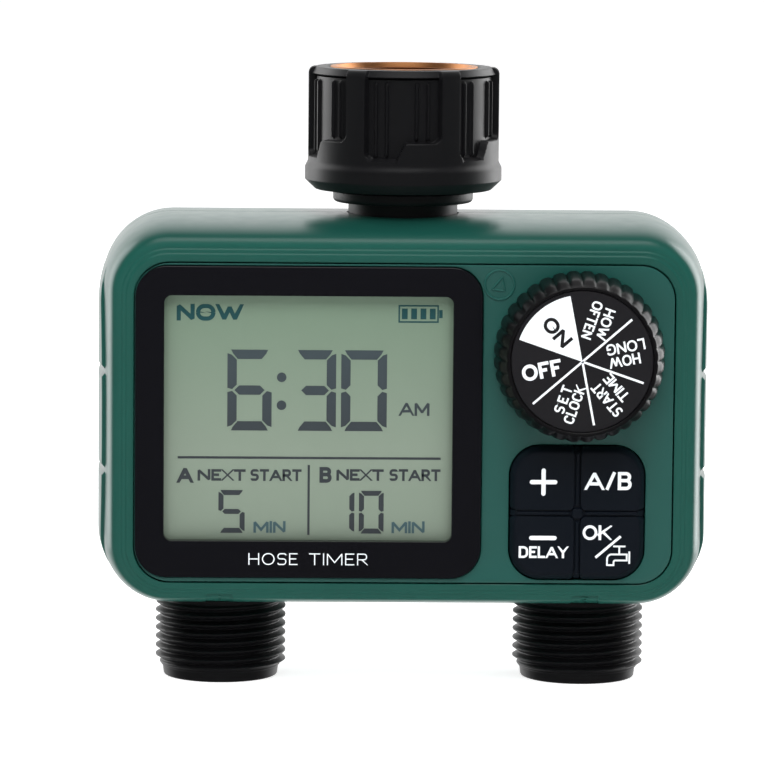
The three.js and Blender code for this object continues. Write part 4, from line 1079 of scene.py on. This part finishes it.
def dial_sector():
    """The white ON sector between two dividers, cut round its edge."""
    start, end = radians(SECTOR["start"]), radians(SECTOR["end"])
    turns = [start + (end - start) * k / SECTOR["steps"] for k in range(SECTOR["steps"] + 1)]
    arc = [(DIAL_X + SECTOR["reach"] * cos(turn), DIAL_Z + SECTOR["reach"] * sin(turn)) for turn in turns]
    return flat_piece([(DIAL_X, DIAL_Z)] + arc, PRINT_Y + 0.01, PRINT)


def dividers():
    shapes = []
    for bearing in DIVIDER["bearings"]:
        angle = radians(bearing)
        reach = DIVIDER["reach"]
        end = (DIAL_X + reach * cos(angle), DIAL_Z + reach * sin(angle))
        half = DIVIDER["width"] / 2
        across = (-sin(angle) * half, cos(angle) * half)
        points = [(DIAL_X + across[0], DIAL_Z + across[1]), (DIAL_X - across[0], DIAL_Z - across[1]),
                  (end[0] - across[0], end[1] - across[1]), (end[0] + across[0], end[1] + across[1])]
        shapes.append(flat_piece(points, PRINT_Y + 0.002, PRINT))
    return together(shapes)


piece("dial_body", knob(), KNOB_BLACK, "dial", ["dial_knob"], sharp=radians(50))
piece("dial_disc", dial_disc(), DISC_BLACK, "dial", ["dial_face"])
piece("dial_sector", dial_sector(), WHITE_PRINT, "dial")
piece("dial_dividers", dividers(), WHITE_PRINT, "dial")
DIAL_WORDS = [
    ("OFF", 191, 7.8, 3.2, {"rise": -0.2, "reach": 8.1, "weight": 0.66}),
    ("SET", 251, 5.5, 2.1, {"rise": 1.05, "reach": 8.2, "gap": 0.4}),
    ("CLOCK", 251, 7.6, 2.1, {"rise": -1.4, "reach": 8.5}),
    ("START", 311, 7.6, 2.15, {"rise": 1.2, "reach": 8.8}),
    ("TIME", 311, 6.0, 2.15, {"rise": -1.75, "reach": 8.2}),
    ("HOW", 11, 6.1, 2.15, {"rise": 1.3, "reach": 8.2}),
    ("LONG", 11, 7.6, 2.2, {"rise": -1.3, "reach": 8.8}),
    ("HOW", 71, 6.2, 2.1, {"rise": 1.75, "reach": 8.4}),
    ("OFTEN", 71, 7.6, 2.1, {"rise": -1.0, "reach": 8.3}),
]
dial_words = together(dial_word(*place, **style) for *place, style in DIAL_WORDS)
piece("dial_words", dial_words, WHITE_PRINT, "dial")
word_on = dial_word("ON", 131, 6.4, 3.0, reach=7.7, weight=0.66).moved(y=-0.03)
piece("dial_word_on", word_on, DISC_BLACK, "dial")

# ---------------------------------------------------------------- keypad
KEY_FACE = min(k.y0 for k in KEYS.values())
PAD_X = (PAD_BOX[0] + PAD_BOX[1]) / 2
PAD_Z = (PAD_BOX[2] + PAD_BOX[3]) / 2
INNER_GAP = 0.62  # from the pad's centre lines to a key's inner edges


# (inset of a key's outer edges, inset of its inner edges, depth below its face)
KEY_LEVELS = [(1.75, 0.2, 0.0), (1.35, 0.1, 0.01), (1.1, 0.03, 0.07), (0.95, 0.0, 0.18), (0.5, 0.0, 0.75),
              (0.28, 0.0, 1.05), (0.12, 0.0, 1.3), (0.03, 0.0, 1.6), (0.0, 0.0, 1.9)]


def quadrant(side_x, side_z):
    """One key: a soft bevel along its outer edges and a tight round along its inner ones."""
    x_out = PAD_BOX[1] if side_x > 0 else PAD_BOX[0]
    z_out = PAD_BOX[3] if side_z > 0 else PAD_BOX[2]
    x_in, z_in = PAD_X + side_x * INNER_GAP, PAD_Z + side_z * INNER_GAP
    back = max(k.y1 for k in KEYS.values())
    rings = []
    for outer, inner, depth in KEY_LEVELS + [(0.0, 0.0, back - KEY_FACE)]:
        xs = sorted((x_out - side_x * outer, x_in + side_x * inner))
        zs = sorted((z_out - side_z * outer, z_in + side_z * inner))
        radii = []
        for sx, sz in ((1, -1), (1, 1), (-1, 1), (-1, -1)):
            at_rim = sx == side_x, sz == side_z
            radii.append(PAD_RADIUS - outer * 0.9 if all(at_rim) else 0.75 if any(at_rim) else 1.1)
        rings.append(at_depth(outline(*xs, *zs, radii, corner=12), KEY_FACE + depth))
    return skin(rings)


def ridge(x0, x1, z0, z1):
    """A low rounded bar between two keys."""
    half = min(x1 - x0, z1 - z0) / 2
    rings = []
    for inset, depth in edge_steps(half * 0.9, steps=6):
        rings.append(at_depth(outline(*grow(x0, x1, z0, z1, -inset), max(half - inset, 0.04), corner=6),
                              KEY_FACE + 0.05 + depth))
    rings.append(at_depth(outline(x0, x1, z0, z1, half, corner=6), FRONT + 2))
    return skin(rings)


def web_arm(start, end, half, low, place):
    """One bar of the web, `low` mm below the keys' faces, with ends that follow the keys' bevels."""
    rise = [(inset, KEY_FACE + depth + low) for inset, _, depth in KEY_LEVELS] + [(0.0, FRONT + 2 + low)]
    profile = [(start + inset, y) for inset, y in rise[::-1]] + [(end - inset, y) for inset, y in rise]
    return skin([[place(along, y, side * half) for along, y in profile] for side in (-1, 1)])


def keypad_cross():
    """The web between the keys: four ridges in troughs, a flat boss at the centre, and the skirt behind."""
    half, start, end = 0.38, 1.5, 1.2
    x0, x1, z0, z1 = grow(*PAD_BOX, -end)
    shapes = [
        ridge(x0, PAD_X - start, PAD_Z - half, PAD_Z + half),
        ridge(PAD_X + start, x1, PAD_Z - half, PAD_Z + half),
        ridge(PAD_X - half, PAD_X + half, z0, PAD_Z - start),
        ridge(PAD_X - half, PAD_X + half, PAD_Z + start, z1),
        slab(*grow(PAD_X, PAD_X, PAD_Z, PAD_Z, 1.0), 0.4, KEY_FACE + 0.1, FRONT + 2, edge=0.2, corner=4),
        web_arm(PAD_BOX[0], PAD_BOX[1], 0.58, 0.55, lambda x, y, across: (x, y, PAD_Z + across)),
        web_arm(PAD_BOX[2], PAD_BOX[3], 0.57, 0.56, lambda z, y, across: (PAD_X + across, y, z)),
        slab(*grow(*PAD_BOX, 1.5), PAD_RADIUS, PANEL.y1 + 0.2, PANEL.y1 + 1.4, edge=0.2),
    ]
    return together(shapes)


piece("keypad_cross", keypad_cross(), RUBBER, nodes=["keypad_web"])
for name, side_x, side_z in (("plus", -1, 1), ("outlet", 1, 1), ("minus", -1, -1), ("ok", 1, -1)):
    piece(f"key_{name}_cap", quadrant(side_x, side_z), RUBBER, f"{name}_key", [f"key_{name}"])

LEGEND_Y = KEY_FACE + 0.01
LEGEND = 0.04


def strokes(lines, width=0.85):
    """Strokes with round ends, each laid a hair above the last so that crossings stay clean."""
    return together(flat_piece(capsule(start, end, width), LEGEND_Y - CROSSING_LIFT * order, LEGEND)
                    for order, (start, end) in enumerate(lines))


def legend(text, box, weight):
    return lettering(text, box, weight, LEGEND_Y, LEGEND)


def tap_sign(x, z):
    """A garden tap seen from the side: handle, stem, body and a spout that turns down."""
    body = rounded([(0, 0), (0, 2.15, 0.9), (3.9, 2.15), (3.9, 0.95), (1.3, 0.95, 0.35), (1.3, 0)],
                   closed=True)
    paths = [([(1.2, 3.75), (3.6, 3.75)], False), ([(2.4, 3.7), (2.4, 2.3)], False),
             ([(4.4, 2.75), (4.4, 0.3)], False), (body, True)]
    shapes = []
    for order, (path, closed) in enumerate(paths):
        placed = [(x + px, z + pz) for px, pz in path]
        shapes.append(ribbon(placed, 0.34, LEGEND_Y - CROSSING_LIFT * order, LEGEND, closed))
    return together(shapes)


SIGN = {"x": 27.55, "plus_z": 43.35, "minus_z": 32.2, "reach": 2.3}
left, right = SIGN["x"] - SIGN["reach"], SIGN["x"] + SIGN["reach"]
low, high = SIGN["plus_z"] - SIGN["reach"], SIGN["plus_z"] + SIGN["reach"]
plus = strokes([((left, SIGN["plus_z"]), (right, SIGN["plus_z"])), ((SIGN["x"], low), (SIGN["x"], high))])
minus = strokes([((left, SIGN["minus_z"]), (right, SIGN["minus_z"]))])
slash = ribbon([(38.0, 28.35), (42.95, 32.6)], 0.5, LEGEND_Y - 3 * CROSSING_LIFT, LEGEND)
piece("legend_plus", plus, WHITE_PRINT, "plus_key")
piece("legend_outlet", legend("A/B", (35.8, 44.95, 41.85, 45.45), 0.66), WHITE_PRINT, "outlet_key")
piece("legend_minus", minus + legend("DELAY", (22.8, 32.5, 28.2, 30.55), 0.45), WHITE_PRINT, "minus_key")
legend_ok = legend("OK", (35.4, 40.95, 31.85, 34.8), 0.54) + slash + tap_sign(40.3, 26.85)
piece("legend_ok", legend_ok, WHITE_PRINT, "ok_key")

# ---------------------------------------------------------------- water way
def thread_height(turns):
    """Height of a rounded V thread, 0 at its root and 1 at its crest, at a number of pitches along."""
    rise = 1 - abs(2 * (turns % 1) - 1)
    return min(1, max(0, (rise - 0.1) / 0.76)) ** 1.1


def threaded(z, angle, start, end):
    """Radius of the pipe thread at a height and angle, fading out over half a turn at both ends."""
    run = (z - start) / PIPE["pitch"] - angle / (2 * pi)
    fade = max(0, min(1, (z - start) / 0.9, (end - z) / 0.9))
    return PIPE["root"] + (PIPE["crest"] - PIPE["root"]) * thread_height(run) * fade


THREAD_STEPS = 144
ROWS_PER_PITCH = 16


def thread_rings(start, end, at_x=0.0, grow_by=0.0):
    rows = ceil((end - start) / PIPE["pitch"] * ROWS_PER_PITCH)
    rings = []
    for k in range(rows + 1):
        z = start + (end - start) * k / rows
        ring = []
        for i in range(THREAD_STEPS):
            angle = 2 * pi * i / THREAD_STEPS
            radius = threaded(z, angle, start, end) + grow_by
            ring.append((at_x + radius * cos(angle), radius * sin(angle), z))
        rings.append(ring)
    return rings


def circle_ring(radius, z, at_x=0.0, steps=THREAD_STEPS):
    return [(x, y, z) for x, y in circle(at_x, 0, radius, steps)]


def outlet(side):
    """Threaded outlet with its plain lead-in, bore and valve seat, up to the chamber inside the case."""
    at_x = side * OUTLET_X
    lower = rounded([(9.0, 0, 0.3), (11.5, 0, 0.5), (11.75, 1.9, 0.4), (12.06, 2.2)])
    rings = [circle_ring(r, z, at_x) for r, z in lower]
    rings += thread_rings(2.3, 15.7, at_x)
    flange = [(12.06, 16), (12.06, 20.1), (13.8, 20.1, 0.3), (13.8, 22.4, 0.3), (12.06, 22.4), (12.06, 28)]
    chamber = [(14, 28, 0.3), (14, 41, 0.3), (12.2, 41), (12.2, 30), (8.5, 30)]
    seat_and_bore = [(8.5, 38.6, 0.5), (6, 38.6, 0.5), (6, 24), (9, 24), (9.0, 0.8)]
    rings += [circle_ring(r, z, at_x) for r, z in rounded(flange + chamber + seat_and_bore)]
    return skin(rings, loop=True)


for letter, side in (("a", -1), ("b", 1)):
    arm = tube(6.6, 7.7, *sorted((side * 17.5, side * 24)), axis="x", at=(0, 0, 33.4), steps=40)
    piece(f"outlet_{letter}", outlet(side) + arm, BLACK, nodes=[f"valve_body_{letter}"], sharp=radians(50))

STEM = cad("inlet_stem")
COLLAR = cad("stem_collar")
stem_profile = rounded([
    (6, 26, 0.3), (9, 26, 0.3), (9, 90), (11, 91.5, 0.4), (11, COLLAR.z0 - 0.1), (10.2, COLLAR.z0 - 0.1),
    (10.2, COLLAR.z1 + 0.1), (11, COLLAR.z1 + 0.1), (11, 102, 0.2), (14.3, 102, 0.3), (14.3, STEM.z1, 0.3),
    (6.9, STEM.z1, 0.3), (6.9, 96.5), (6, 96.5),
], closed=True)
cross_arm = tube(4, 6.5, -23.3, 23.3, axis="x", at=(0, 0, 33.4), steps=48)
piece("stem_body", turned(stem_profile, steps=128) + cross_arm, BLACK, nodes=["inlet_stem"])
collar_profile = rounded([(10.3, COLLAR.z0, 0.1), (COLLAR.x1, COLLAR.z0, 0.8), (COLLAR.x1, COLLAR.z1, 0.25),
                          (10.3, COLLAR.z1, 0.1)], closed=True)
piece("collar_ring", turned(collar_profile, steps=128), BLACK, nodes=["stem_collar"])

WASHER = cad("inlet_washer")
washer = tube(8.8, WASHER.x1, WASHER.z0, WASHER.z1, edge=0.4, steps=128)
piece("washer_ring", washer, RUBBER, nodes=["inlet_washer"])


SCREEN = {"wire": 0.1, "radius": 5.7, "flare": 0.04, "hoops": 12, "floor": 5.65, "pitch": 0.72, "ribs": 40}


def screen_cup():
    """A cup of woven wire: hoops, a crossed floor and upright ribs of round wire under a pressed rim."""
    cup = cad("inlet_filter")
    base = cup.z0 + 0.2
    wire = SCREEN["wire"]
    rim = [(6.1, cup.z1 - 0.8, 0.1), (cup.x1, cup.z1 - 0.8, 0.1), (cup.x1, cup.z1, 0.2), (6.1, cup.z1, 0.3)]
    shapes = [turned(rounded(rim, closed=True))]
    for k in range(SCREEN["hoops"]):
        z = base + (cup.z1 - 0.6 - base) * k / SCREEN["hoops"]
        shapes.append(turned(circle(SCREEN["radius"] + SCREEN["flare"] * k, z, wire, 6), steps=48))
    count = int(5.5 / SCREEN["pitch"])
    for k in range(-count, count + 1):
        offset = k * SCREEN["pitch"]
        reach = sqrt(SCREEN["floor"] ** 2 - offset ** 2)
        shapes.append(rod(wire, -reach, reach, edge=0, axis="x", at=(0, offset, base), steps=6))
        shapes.append(rod(wire, -reach, reach, edge=0, axis="y", at=(offset, 0, base + wire), steps=6))
    for x, y in circle(0, 0, 5.85, SCREEN["ribs"]):
        shapes.append(rod(wire, base, cup.z1 - 0.5, edge=0, steps=6, at=(x, y, 0)))
    return together(shapes)


piece("filter_screen", screen_cup(), STEEL, nodes=["inlet_filter"])

# ---------------------------------------------------------------- swivel nut
LANDS = 6
LAND_HALF = 6.2  # degrees
FIRST_LAND = 28.2
LAND_RADIUS = 19.2
FLOOR = 17.7
RIBS = (0.135, 0.285, 0.68, 0.83)  # places of a pocket's ribs, as shares of its width
RIB = {"flat": 0.16, "foot": 0.42, "rise": 0.62}
NUT_STEPS = 720
SKIRT = {"from": 4.3, "to": 5.9}  # where the wider skirt runs into the lands, above the nut's bottom
POCKET_CORNER = 1.9
POCKET_SPAN = 360 / LANDS - 2 * LAND_HALF  # degrees
MM_PER_DEGREE = pi / 180 * 19
POCKET_WIDTH = POCKET_SPAN * MM_PER_DEGREE
POCKET_ROOF = NUT.z1 - 1.3
POCKET_FLOORS = {"deep": 105.9, "shallow": 109.2, "from": 0.40, "to": 0.55}
WALL_RUN = 0.34  # how far a pocket's walls and floor take to reach full depth
ROOF_RUN = 0.45


def outer_nut(z):
    """The nut's outer radius where no pocket is cut."""
    wave = ease(z, NUT.z0 + SKIRT["from"], NUT.z0 + SKIRT["to"])
    return NUT.x1 - (NUT.x1 - LAND_RADIUS) * wave


def into_pocket(theta):
    """How many degrees an angle lies past the start of its pocket; beyond POCKET_SPAN it is on a land."""
    return (theta - FIRST_LAND - LAND_HALF) % (360 / LANDS)


def pocket_floor(share):
    """The height at which a pocket begins, over its width: deep, a slanted shoulder, then shallow."""
    deep, shallow, start, end = POCKET_FLOORS.values()
    from_wall = min(share, 1 - share) * POCKET_WIDTH
    corner = max(0.0, POCKET_CORNER - from_wall)
    rounding = POCKET_CORNER - sqrt(max(0.0, POCKET_CORNER ** 2 - corner ** 2))
    return deep + (shallow - deep) * ease(share, start, end) + rounding


def rib_height(z, share):
    """0 to 1 up the nearest of a pocket's ribs."""
    ribbed = 0.0
    for place in RIBS:
        across = abs(share - place) * POCKET_WIDTH
        foot = ease(z - pocket_floor(place), 0.55, 1.1)
        head = 1 - ease(z, POCKET_ROOF - 1.5, POCKET_ROOF - 0.9)
        ribbed = max(ribbed, (1 - ease(across, RIB["flat"], RIB["foot"])) * foot * head)
    return ribbed


def nut_radius(z, theta):
    """Outer radius at a height and an angle in degrees, counted from the front towards +X."""
    skin_radius = outer_nut(z)
    within = into_pocket(theta)
    if within > POCKET_SPAN:
        return skin_radius
    share = within / POCKET_SPAN
    wall = ease(min(share, 1 - share) * POCKET_WIDTH, 0.0, WALL_RUN)
    floor_edge = ease(z - pocket_floor(share), 0.0, WALL_RUN)
    depth = wall * floor_edge * (1 - ease(z, POCKET_ROOF - ROOF_RUN, POCKET_ROOF))
    return skin_radius - depth * (skin_radius - FLOOR) + depth * RIB["rise"] * rib_height(z, share)


def nut_top(z, theta):
    """How far the top edge draws in: the lands round over, and the ring between them is chamfered."""
    if z <= POCKET_ROOF - ROOF_RUN:
        return 0.0
    within = into_pocket(theta)
    from_land = min(within, POCKET_SPAN - within) * MM_PER_DEGREE
    on_land = 1.0 if within > POCKET_SPAN else 1 - ease(from_land, 0.0, 0.5)
    rise = max(0.0, z - POCKET_ROOF) / (NUT.z1 - POCKET_ROOF)
    ring = 0.75 + 0.75 * rise
    land = 1.1 * (1 - sqrt(max(0.0, 1 - rise ** 2)))
    return land * on_land + ring * (1 - on_land)


def nut_heights():
    """Heights of the outer skin's rings, close together where its shape changes fast."""
    heights = [NUT.z0 + 2.0 + 0.15 * k for k in range(4)]
    heights += [NUT.z0 + 2.6 + 0.4 * k for k in range(4)] + [NUT.z0 + 4.2 + 0.2 * k for k in range(10)]
    while heights[-1] < NUT.z1 - 0.02:
        z = heights[-1]
        near_step = 105.7 < z < 110.6 or z > 120.7
        heights.append(min(NUT.z1, z + (0.14 if near_step else 0.6)))
    return heights


def swivel_nut():
    bottom = rounded([(11.15, NUT.z0, 0.2), (17.75, NUT.z0, 0.3), (19.75, NUT.z0 + 1.9)])[1:]
    rings = [circle_ring(r, z, steps=NUT_STEPS) for r, z in bottom]
    for z in nut_heights():
        ring = []
        for i in range(NUT_STEPS):
            angle = 2 * pi * i / NUT_STEPS
            theta = degrees(angle) + 90
            radius = nut_radius(z, theta) - nut_top(z, theta)
            ring.append((radius * cos(angle), radius * sin(angle), z))
        rings.append(ring)
    inner = rounded([(17.4, NUT.z1), (15.6, NUT.z1, 0.2), (14.9, NUT.z1 - 0.7), (14.9, 101.8), (11.15, 101.8),
                     (11.15, NUT.z0 + 0.3)])
    rings += [circle_ring(r, z, steps=NUT_STEPS) for r, z in inner]
    return skin(rings, loop=True)


piece("nut_shell", swivel_nut(), BLACK, "nut", ["swivel_nut"], sharp=radians(60))


def brass_sleeve():
    """A brass sleeve with a chamfered mouth and an internal pipe thread."""
    outer = BRASS.x1
    mouth = BRASS.z1
    profile = rounded([(12.3, BRASS.z0), (outer, BRASS.z0, 0.2), (outer, mouth, 0.2), (13.7, mouth, 0.1),
                       (13.2, mouth - 0.9)])
    rings = [circle_ring(r, z) for r, z in profile]
    rings += thread_rings(BRASS.z0 + 0.2, mouth - 1.0, grow_by=0.02)[::-1]
    return skin(rings, loop=True)


piece("brass_sleeve", brass_sleeve(), BRASS_METAL, "nut", ["brass_insert"], sharp=radians(50))

# ---------------------------------------------------------------- battery compartment
CELLS = [cad(f"cell_{i}") for i in (1, 2, 3, 4)]


def cradle(x, floor, low, high):
    """A rounded ridge between two cells."""
    crest = 23.5
    profile = rounded([(x - 2.6, floor), (x - 0.28, crest, 0.8), (x + 0.28, crest, 0.8), (x + 2.6, floor)])
    return skin([[(px, py, z) for px, py in profile] for z in (low, high)])


def battery_tray():
    """An open tray with rounded cradles between the cells."""
    wall, chamfer = 1.4, 0.1
    outer = limits_of(TRAY)
    inner = grow(*outer, -wall)
    # (limits, corner radius, depth) from the closed back round the rim to the floor
    levels = [(outer, 0.8, TRAY.y0), (outer, 0.8, TRAY.y1 - chamfer), (grow(*outer, -chamfer), 0.7, TRAY.y1),
              (grow(*inner, chamfer), 0.6, TRAY.y1), (inner, 0.5, TRAY.y1 - chamfer),
              (inner, 0.5, TRAY.y0 + wall)]
    shapes = [skin([at_depth(outline(*limits, radius, 4), y) for limits, radius, y in levels])]
    for left, right in zip(CELLS, CELLS[1:]):
        x = (left.x1 + right.x0) / 2
        shapes += [cradle(x, TRAY.y0 + wall, 34, 48), cradle(x, TRAY.y0 + wall, 61, 75)]
    return together(shapes)


piece("battery_tray", battery_tray(), BLACK, nodes=["battery_case"])


def cell_shape(box, stud_up):
    """A cell with a crimped can, a printed sleeve with rolled ends and a raised stud."""
    radius = (box.x1 - box.x0) / 2
    length = box.z1 - box.z0
    sleeve = rounded([(radius - 0.9, 0.15, 0.1), (radius - 0.15, 0.1, 0.4), (radius, 0.9),
                      (radius, length - 2.2, 0.5), (radius - 0.5, length - 1.15, 0.3),
                      (radius - 1.3, length - 1.05, 0.1)])
    sleeve += [(radius - 1.35, length - 1.2), (radius - 1.0, length - 2.4), (radius - 1.0, 0.4)]
    can = rounded([(0, length), (2.7, length, 0.5), (2.7, length - 1.0, 0.2), (5.6, length - 1.1, 0.3),
                   (6.1, length - 1.5), (6.1, 0.3), (5.2, 0.05, 0.3), (0, 0)])
    at = ((box.x0 + box.x1) / 2, (box.y0 + box.y1) / 2, 0)

    def upright(profile):
        return [(r, box.z0 + h if stud_up else box.z1 - h) for r, h in profile]

    return turned(upright(sleeve), at=at, steps=72), turned(upright(can), at=at, steps=72)


for index, box in enumerate(CELLS, start=1):
    sleeve, can = cell_shape(box, index % 2 == 1)
    piece(f"battery_{index}_sleeve", sleeve, CELL_WRAP, nodes=[f"cell_{index}"])
    piece(f"battery_{index}_can", can, STEEL)
    spring = cad(f"contact_spring_{index}")
    centre = ((box.x0 + box.x1) / 2, (box.y0 + box.y1) / 2)
    low_wide = index % 2 == 1
    first, last = (4.2, 2.0) if low_wide else (2.0, 4.2)
    piece(f"cell_spring_{index}", coil(centre, first, last, spring.z0, spring.z1, 3, 0.35), STEEL,
          nodes=[f"contact_spring_{index}"])

def contact_strip(box):
    """A pad under each cell, joined by narrower links."""
    def plate(x0, x1, y0, y1, radius, corner, inset=0.0):
        points = outline(x0, x1, y0, y1, radius, corner)
        return skin([[(x, y, z) for x, y in points] for z in (box.z0 + inset, box.z1 - inset)])

    middles = [(cell.x0 + cell.x1) / 2 for cell in CELLS]
    pads = [plate(x - 5.2, x + 5.2, box.y0, box.y1, 1.2, 5) for x in middles]
    links = [plate(a.x1 - 3.2, b.x0 + 3.2, box.y0 + 3, box.y1 - 3, 0.3, 3, inset=0.02)
             for a, b in zip(CELLS, CELLS[1:])]
    return together(pads + links)


for place in ("bottom", "top"):
    node = f"contact_plate_{place}"
    piece(f"cell_contact_{place}", contact_strip(cad(node)), STEEL, nodes=[node])

KNUCKLE = {"radius": 1.8, "half_width": 14, "foot": 85.2}
GRIP_LINES = {"count": 5, "half": 11, "from": 27.0, "pitch": 2.3, "height": 1.1}


def door_panel():
    return slab(DOOR.x0, DOOR.x1, 22.0, 86.4, 5.0, BULGE_FACE + 0.8, DOOR.y1, edge=0.15, back_edge=0.9,
                corner=12)


def door_knuckle():
    """The barrel round the hinge pin, with the web that joins it to the door."""
    radius = KNUCKLE["radius"]
    turns = [pi * k / 20 for k in range(21)]
    barrel = [(HINGE_Y + radius * cos(turn), HINGE_Z + radius * sin(turn)) for turn in turns]
    web = [(HINGE_Y - 0.2, KNUCKLE["foot"]), (DOOR.y1 - 0.25, KNUCKLE["foot"])]
    back = [(HINGE_Y - 1.75, HINGE_Z - 0.3), (HINGE_Y - 0.2, HINGE_Z - radius)]
    ends = (-KNUCKLE["half_width"], KNUCKLE["half_width"])
    return skin([[(x, y, z) for y, z in web + barrel + back] for x in ends])


def grip_lines():
    """Raised bars in the door's finger scoop, each shorter than the one below."""
    shapes = []
    for k in range(GRIP_LINES["count"]):
        half = GRIP_LINES["half"] - k
        low = GRIP_LINES["from"] + GRIP_LINES["pitch"] * k
        shapes.append(slab(-half, half, low, low + GRIP_LINES["height"], 0.5, DOOR.y1 - 0.9, DOOR.y1 - 0.1,
                           edge=0, back_edge=0.3, corner=5))
    return together(shapes)


def door_ribs():
    inner = BULGE_FACE + 1.1
    latch = slab(-5, 5, TRAY.z0 + 1.7, TRAY.z0 + 2.9, 0.4, DOOR.y0, inner, back_edge=0, corner=4)
    ribs = together(slab(-26, 26, z - 0.6, z + 0.6, 0.3, BULGE_FACE - 0.2, inner, edge=0.15, back_edge=0,
                         corner=3) for z in (30, 54.2, 78))
    return ribs + latch


DOOR_CHANGES = [
    ("UNION", door_knuckle()),
    ("DIFFERENCE", rod(1.08, -20, 20, edge=0, axis="x", at=(0, HINGE_Y, HINGE_Z), steps=32)),
    ("DIFFERENCE", slab(-15, 15, 25.4, 39, 3, DOOR.y1 - 0.7, DOOR.y1 + 2, edge=0.5, back_edge=0, corner=8)),
    ("UNION", grip_lines()),
    ("UNION", door_ribs()),
]
door = new_object("door_panel", door_panel(), GREEN)
for operation, shape in DOOR_CHANGES:
    boolean(door, shape, operation)
settle(door, "door", ["battery_door"])
hinge_pin = rod(1.0, PIN.x0, PIN.x1, edge=0.25, axis="x", at=(0, HINGE_Y, HINGE_Z), steps=40)
piece("hinge_pin", hinge_pin, STEEL, nodes=["door_pin"])
SEAL = cad("door_seal")
seal_limits = limits_of(SEAL)
gasket = framed_slab(seal_limits, 2, grow(*seal_limits, -0.9), 1.1, SEAL.y0, SEAL.y1, edge=0.2)
piece("door_gasket", gasket, RUBBER, nodes=["door_seal"])

# ---------------------------------------------------------------- finishes of the inner CAD pieces
INNER_FINISHES = {
    "window_seal": RUBBER, "lcd_cell": LCD_FILM, "lcd_frame": WHITE_PLASTIC, "lcd_connector": RUBBER,
    "main_board": BOARD, "controller_chip": BLACK, "rotary_switch": BLACK, "dial_shaft": STEEL,
    "dial_seal": RUBBER,
}
for letter in "ab":
    INNER_FINISHES.update({
        f"feed_o_ring_{letter}": RUBBER, f"diaphragm_{letter}": RUBBER, f"bonnet_{letter}": BLACK,
        f"plunger_{letter}": STEEL, f"plunger_spring_{letter}": STEEL, f"solenoid_coil_{letter}": COPPER,
        f"solenoid_yoke_{letter}": STEEL,
    })
for name, finish in INNER_FINISHES.items():
    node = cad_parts[name]
    node.data.materials.clear()
    node.data.materials.append(finish.material)

# ---------------------------------------------------------------- studio
CAMERA = {"place": (-26.0, -999.6, 176.7), "aim": (-3.8, 0.0, 59.7), "lens": 234.1, "roll": 0.5}


def set_camera():
    lens = bpy.data.cameras.new("camera")
    lens.lens = CAMERA["lens"]
    lens.sensor_width = 36
    lens.clip_start = 0.01
    lens.clip_end = 50
    camera = bpy.data.objects.new("camera", lens)
    bpy.context.scene.collection.objects.link(camera)
    place, aim = (Vector(CAMERA[key]) * MM for key in ("place", "aim"))
    camera.location = place
    turn = (aim - place).to_track_quat("-Z", "Y").to_matrix().to_4x4()
    camera.matrix_world = Matrix.Translation(place) @ turn @ Matrix.Rotation(radians(CAMERA["roll"]), 4, "Z")
    bpy.context.scene.camera = camera


def softbox(name, place, aim, width, height, watts, mirrored=True):
    light = bpy.data.lights.new(name, "AREA")
    light.shape = "RECTANGLE"
    light.size, light.size_y = width, height
    light.energy = watts
    lamp = bpy.data.objects.new(name, light)
    bpy.context.scene.collection.objects.link(lamp)
    lamp.location = place
    lamp.rotation_euler = (Vector(aim) - Vector(place)).to_track_quat("-Z", "Y").to_euler()
    lamp.visible_camera = False
    lamp.visible_glossy = mirrored
    return lamp


def set_surroundings():
    """A white studio behind, above and beside the object, and a dark one on the viewer's side."""
    world = bpy.data.worlds.new("studio")
    bpy.context.scene.world = world
    world.use_nodes = True
    tree = world.node_tree
    where = tree.nodes.new("ShaderNodeTexCoord").outputs["Generated"]
    split = tree.nodes.new("ShaderNodeSeparateXYZ")
    tree.links.new(where, split.inputs[0])
    spread = tree.nodes.new("ShaderNodeMapRange")
    spread.interpolation_type = "SMOOTHSTEP"
    for socket, value in (("From Min", 0.28), ("From Max", 0.95), ("To Min", 0.06), ("To Max", 1.4)):
        spread.inputs[socket].default_value = value
    tree.links.new(split.outputs["Y"], spread.inputs["Value"])
    tree.links.new(spread.outputs["Result"], tree.nodes["Background"].inputs["Strength"])
    tree.nodes["Background"].inputs["Color"].default_value = (1, 1, 1, 1)


def set_floor():
    mesh = bpy.data.meshes.new("studio_floor")
    reach = 12.0
    corners = [(-reach, -reach, 0), (reach, -reach, 0), (reach, reach, 0), (-reach, reach, 0)]
    mesh.from_pydata(corners, [], [(0, 1, 2, 3)])
    floor_finish = moulded("studio_floor", None, linear(246, 246, 246), 0.9, grain=40, depth=0.0,
                           mottle=0.004, Emission_Color=(1, 1, 1, 1), Emission_Strength=0.75)
    mesh.materials.append(floor_finish.material)
    ground = bpy.data.objects.new("studio_floor", mesh)
    bpy.context.scene.collection.objects.link(ground)
    ground.visible_glossy = False


set_camera()
set_surroundings()
set_floor()
middle = (0, 0, 0.06)
softbox("key_overhead", (0.0, -0.75, 0.85), middle, 0.9, 0.6, 10.5, mirrored=False)
softbox("top_glow", (0.0, -0.3, 1.1), middle, 0.8, 0.6, 2.8)
softbox("strip_left", (-0.85, 0.6, 0.3), middle, 0.6, 1.1, 5)
softbox("strip_right", (0.85, 0.6, 0.3), middle, 0.7, 1.1, 8)
bpy.context.scene.view_settings.view_transform = "Standard"
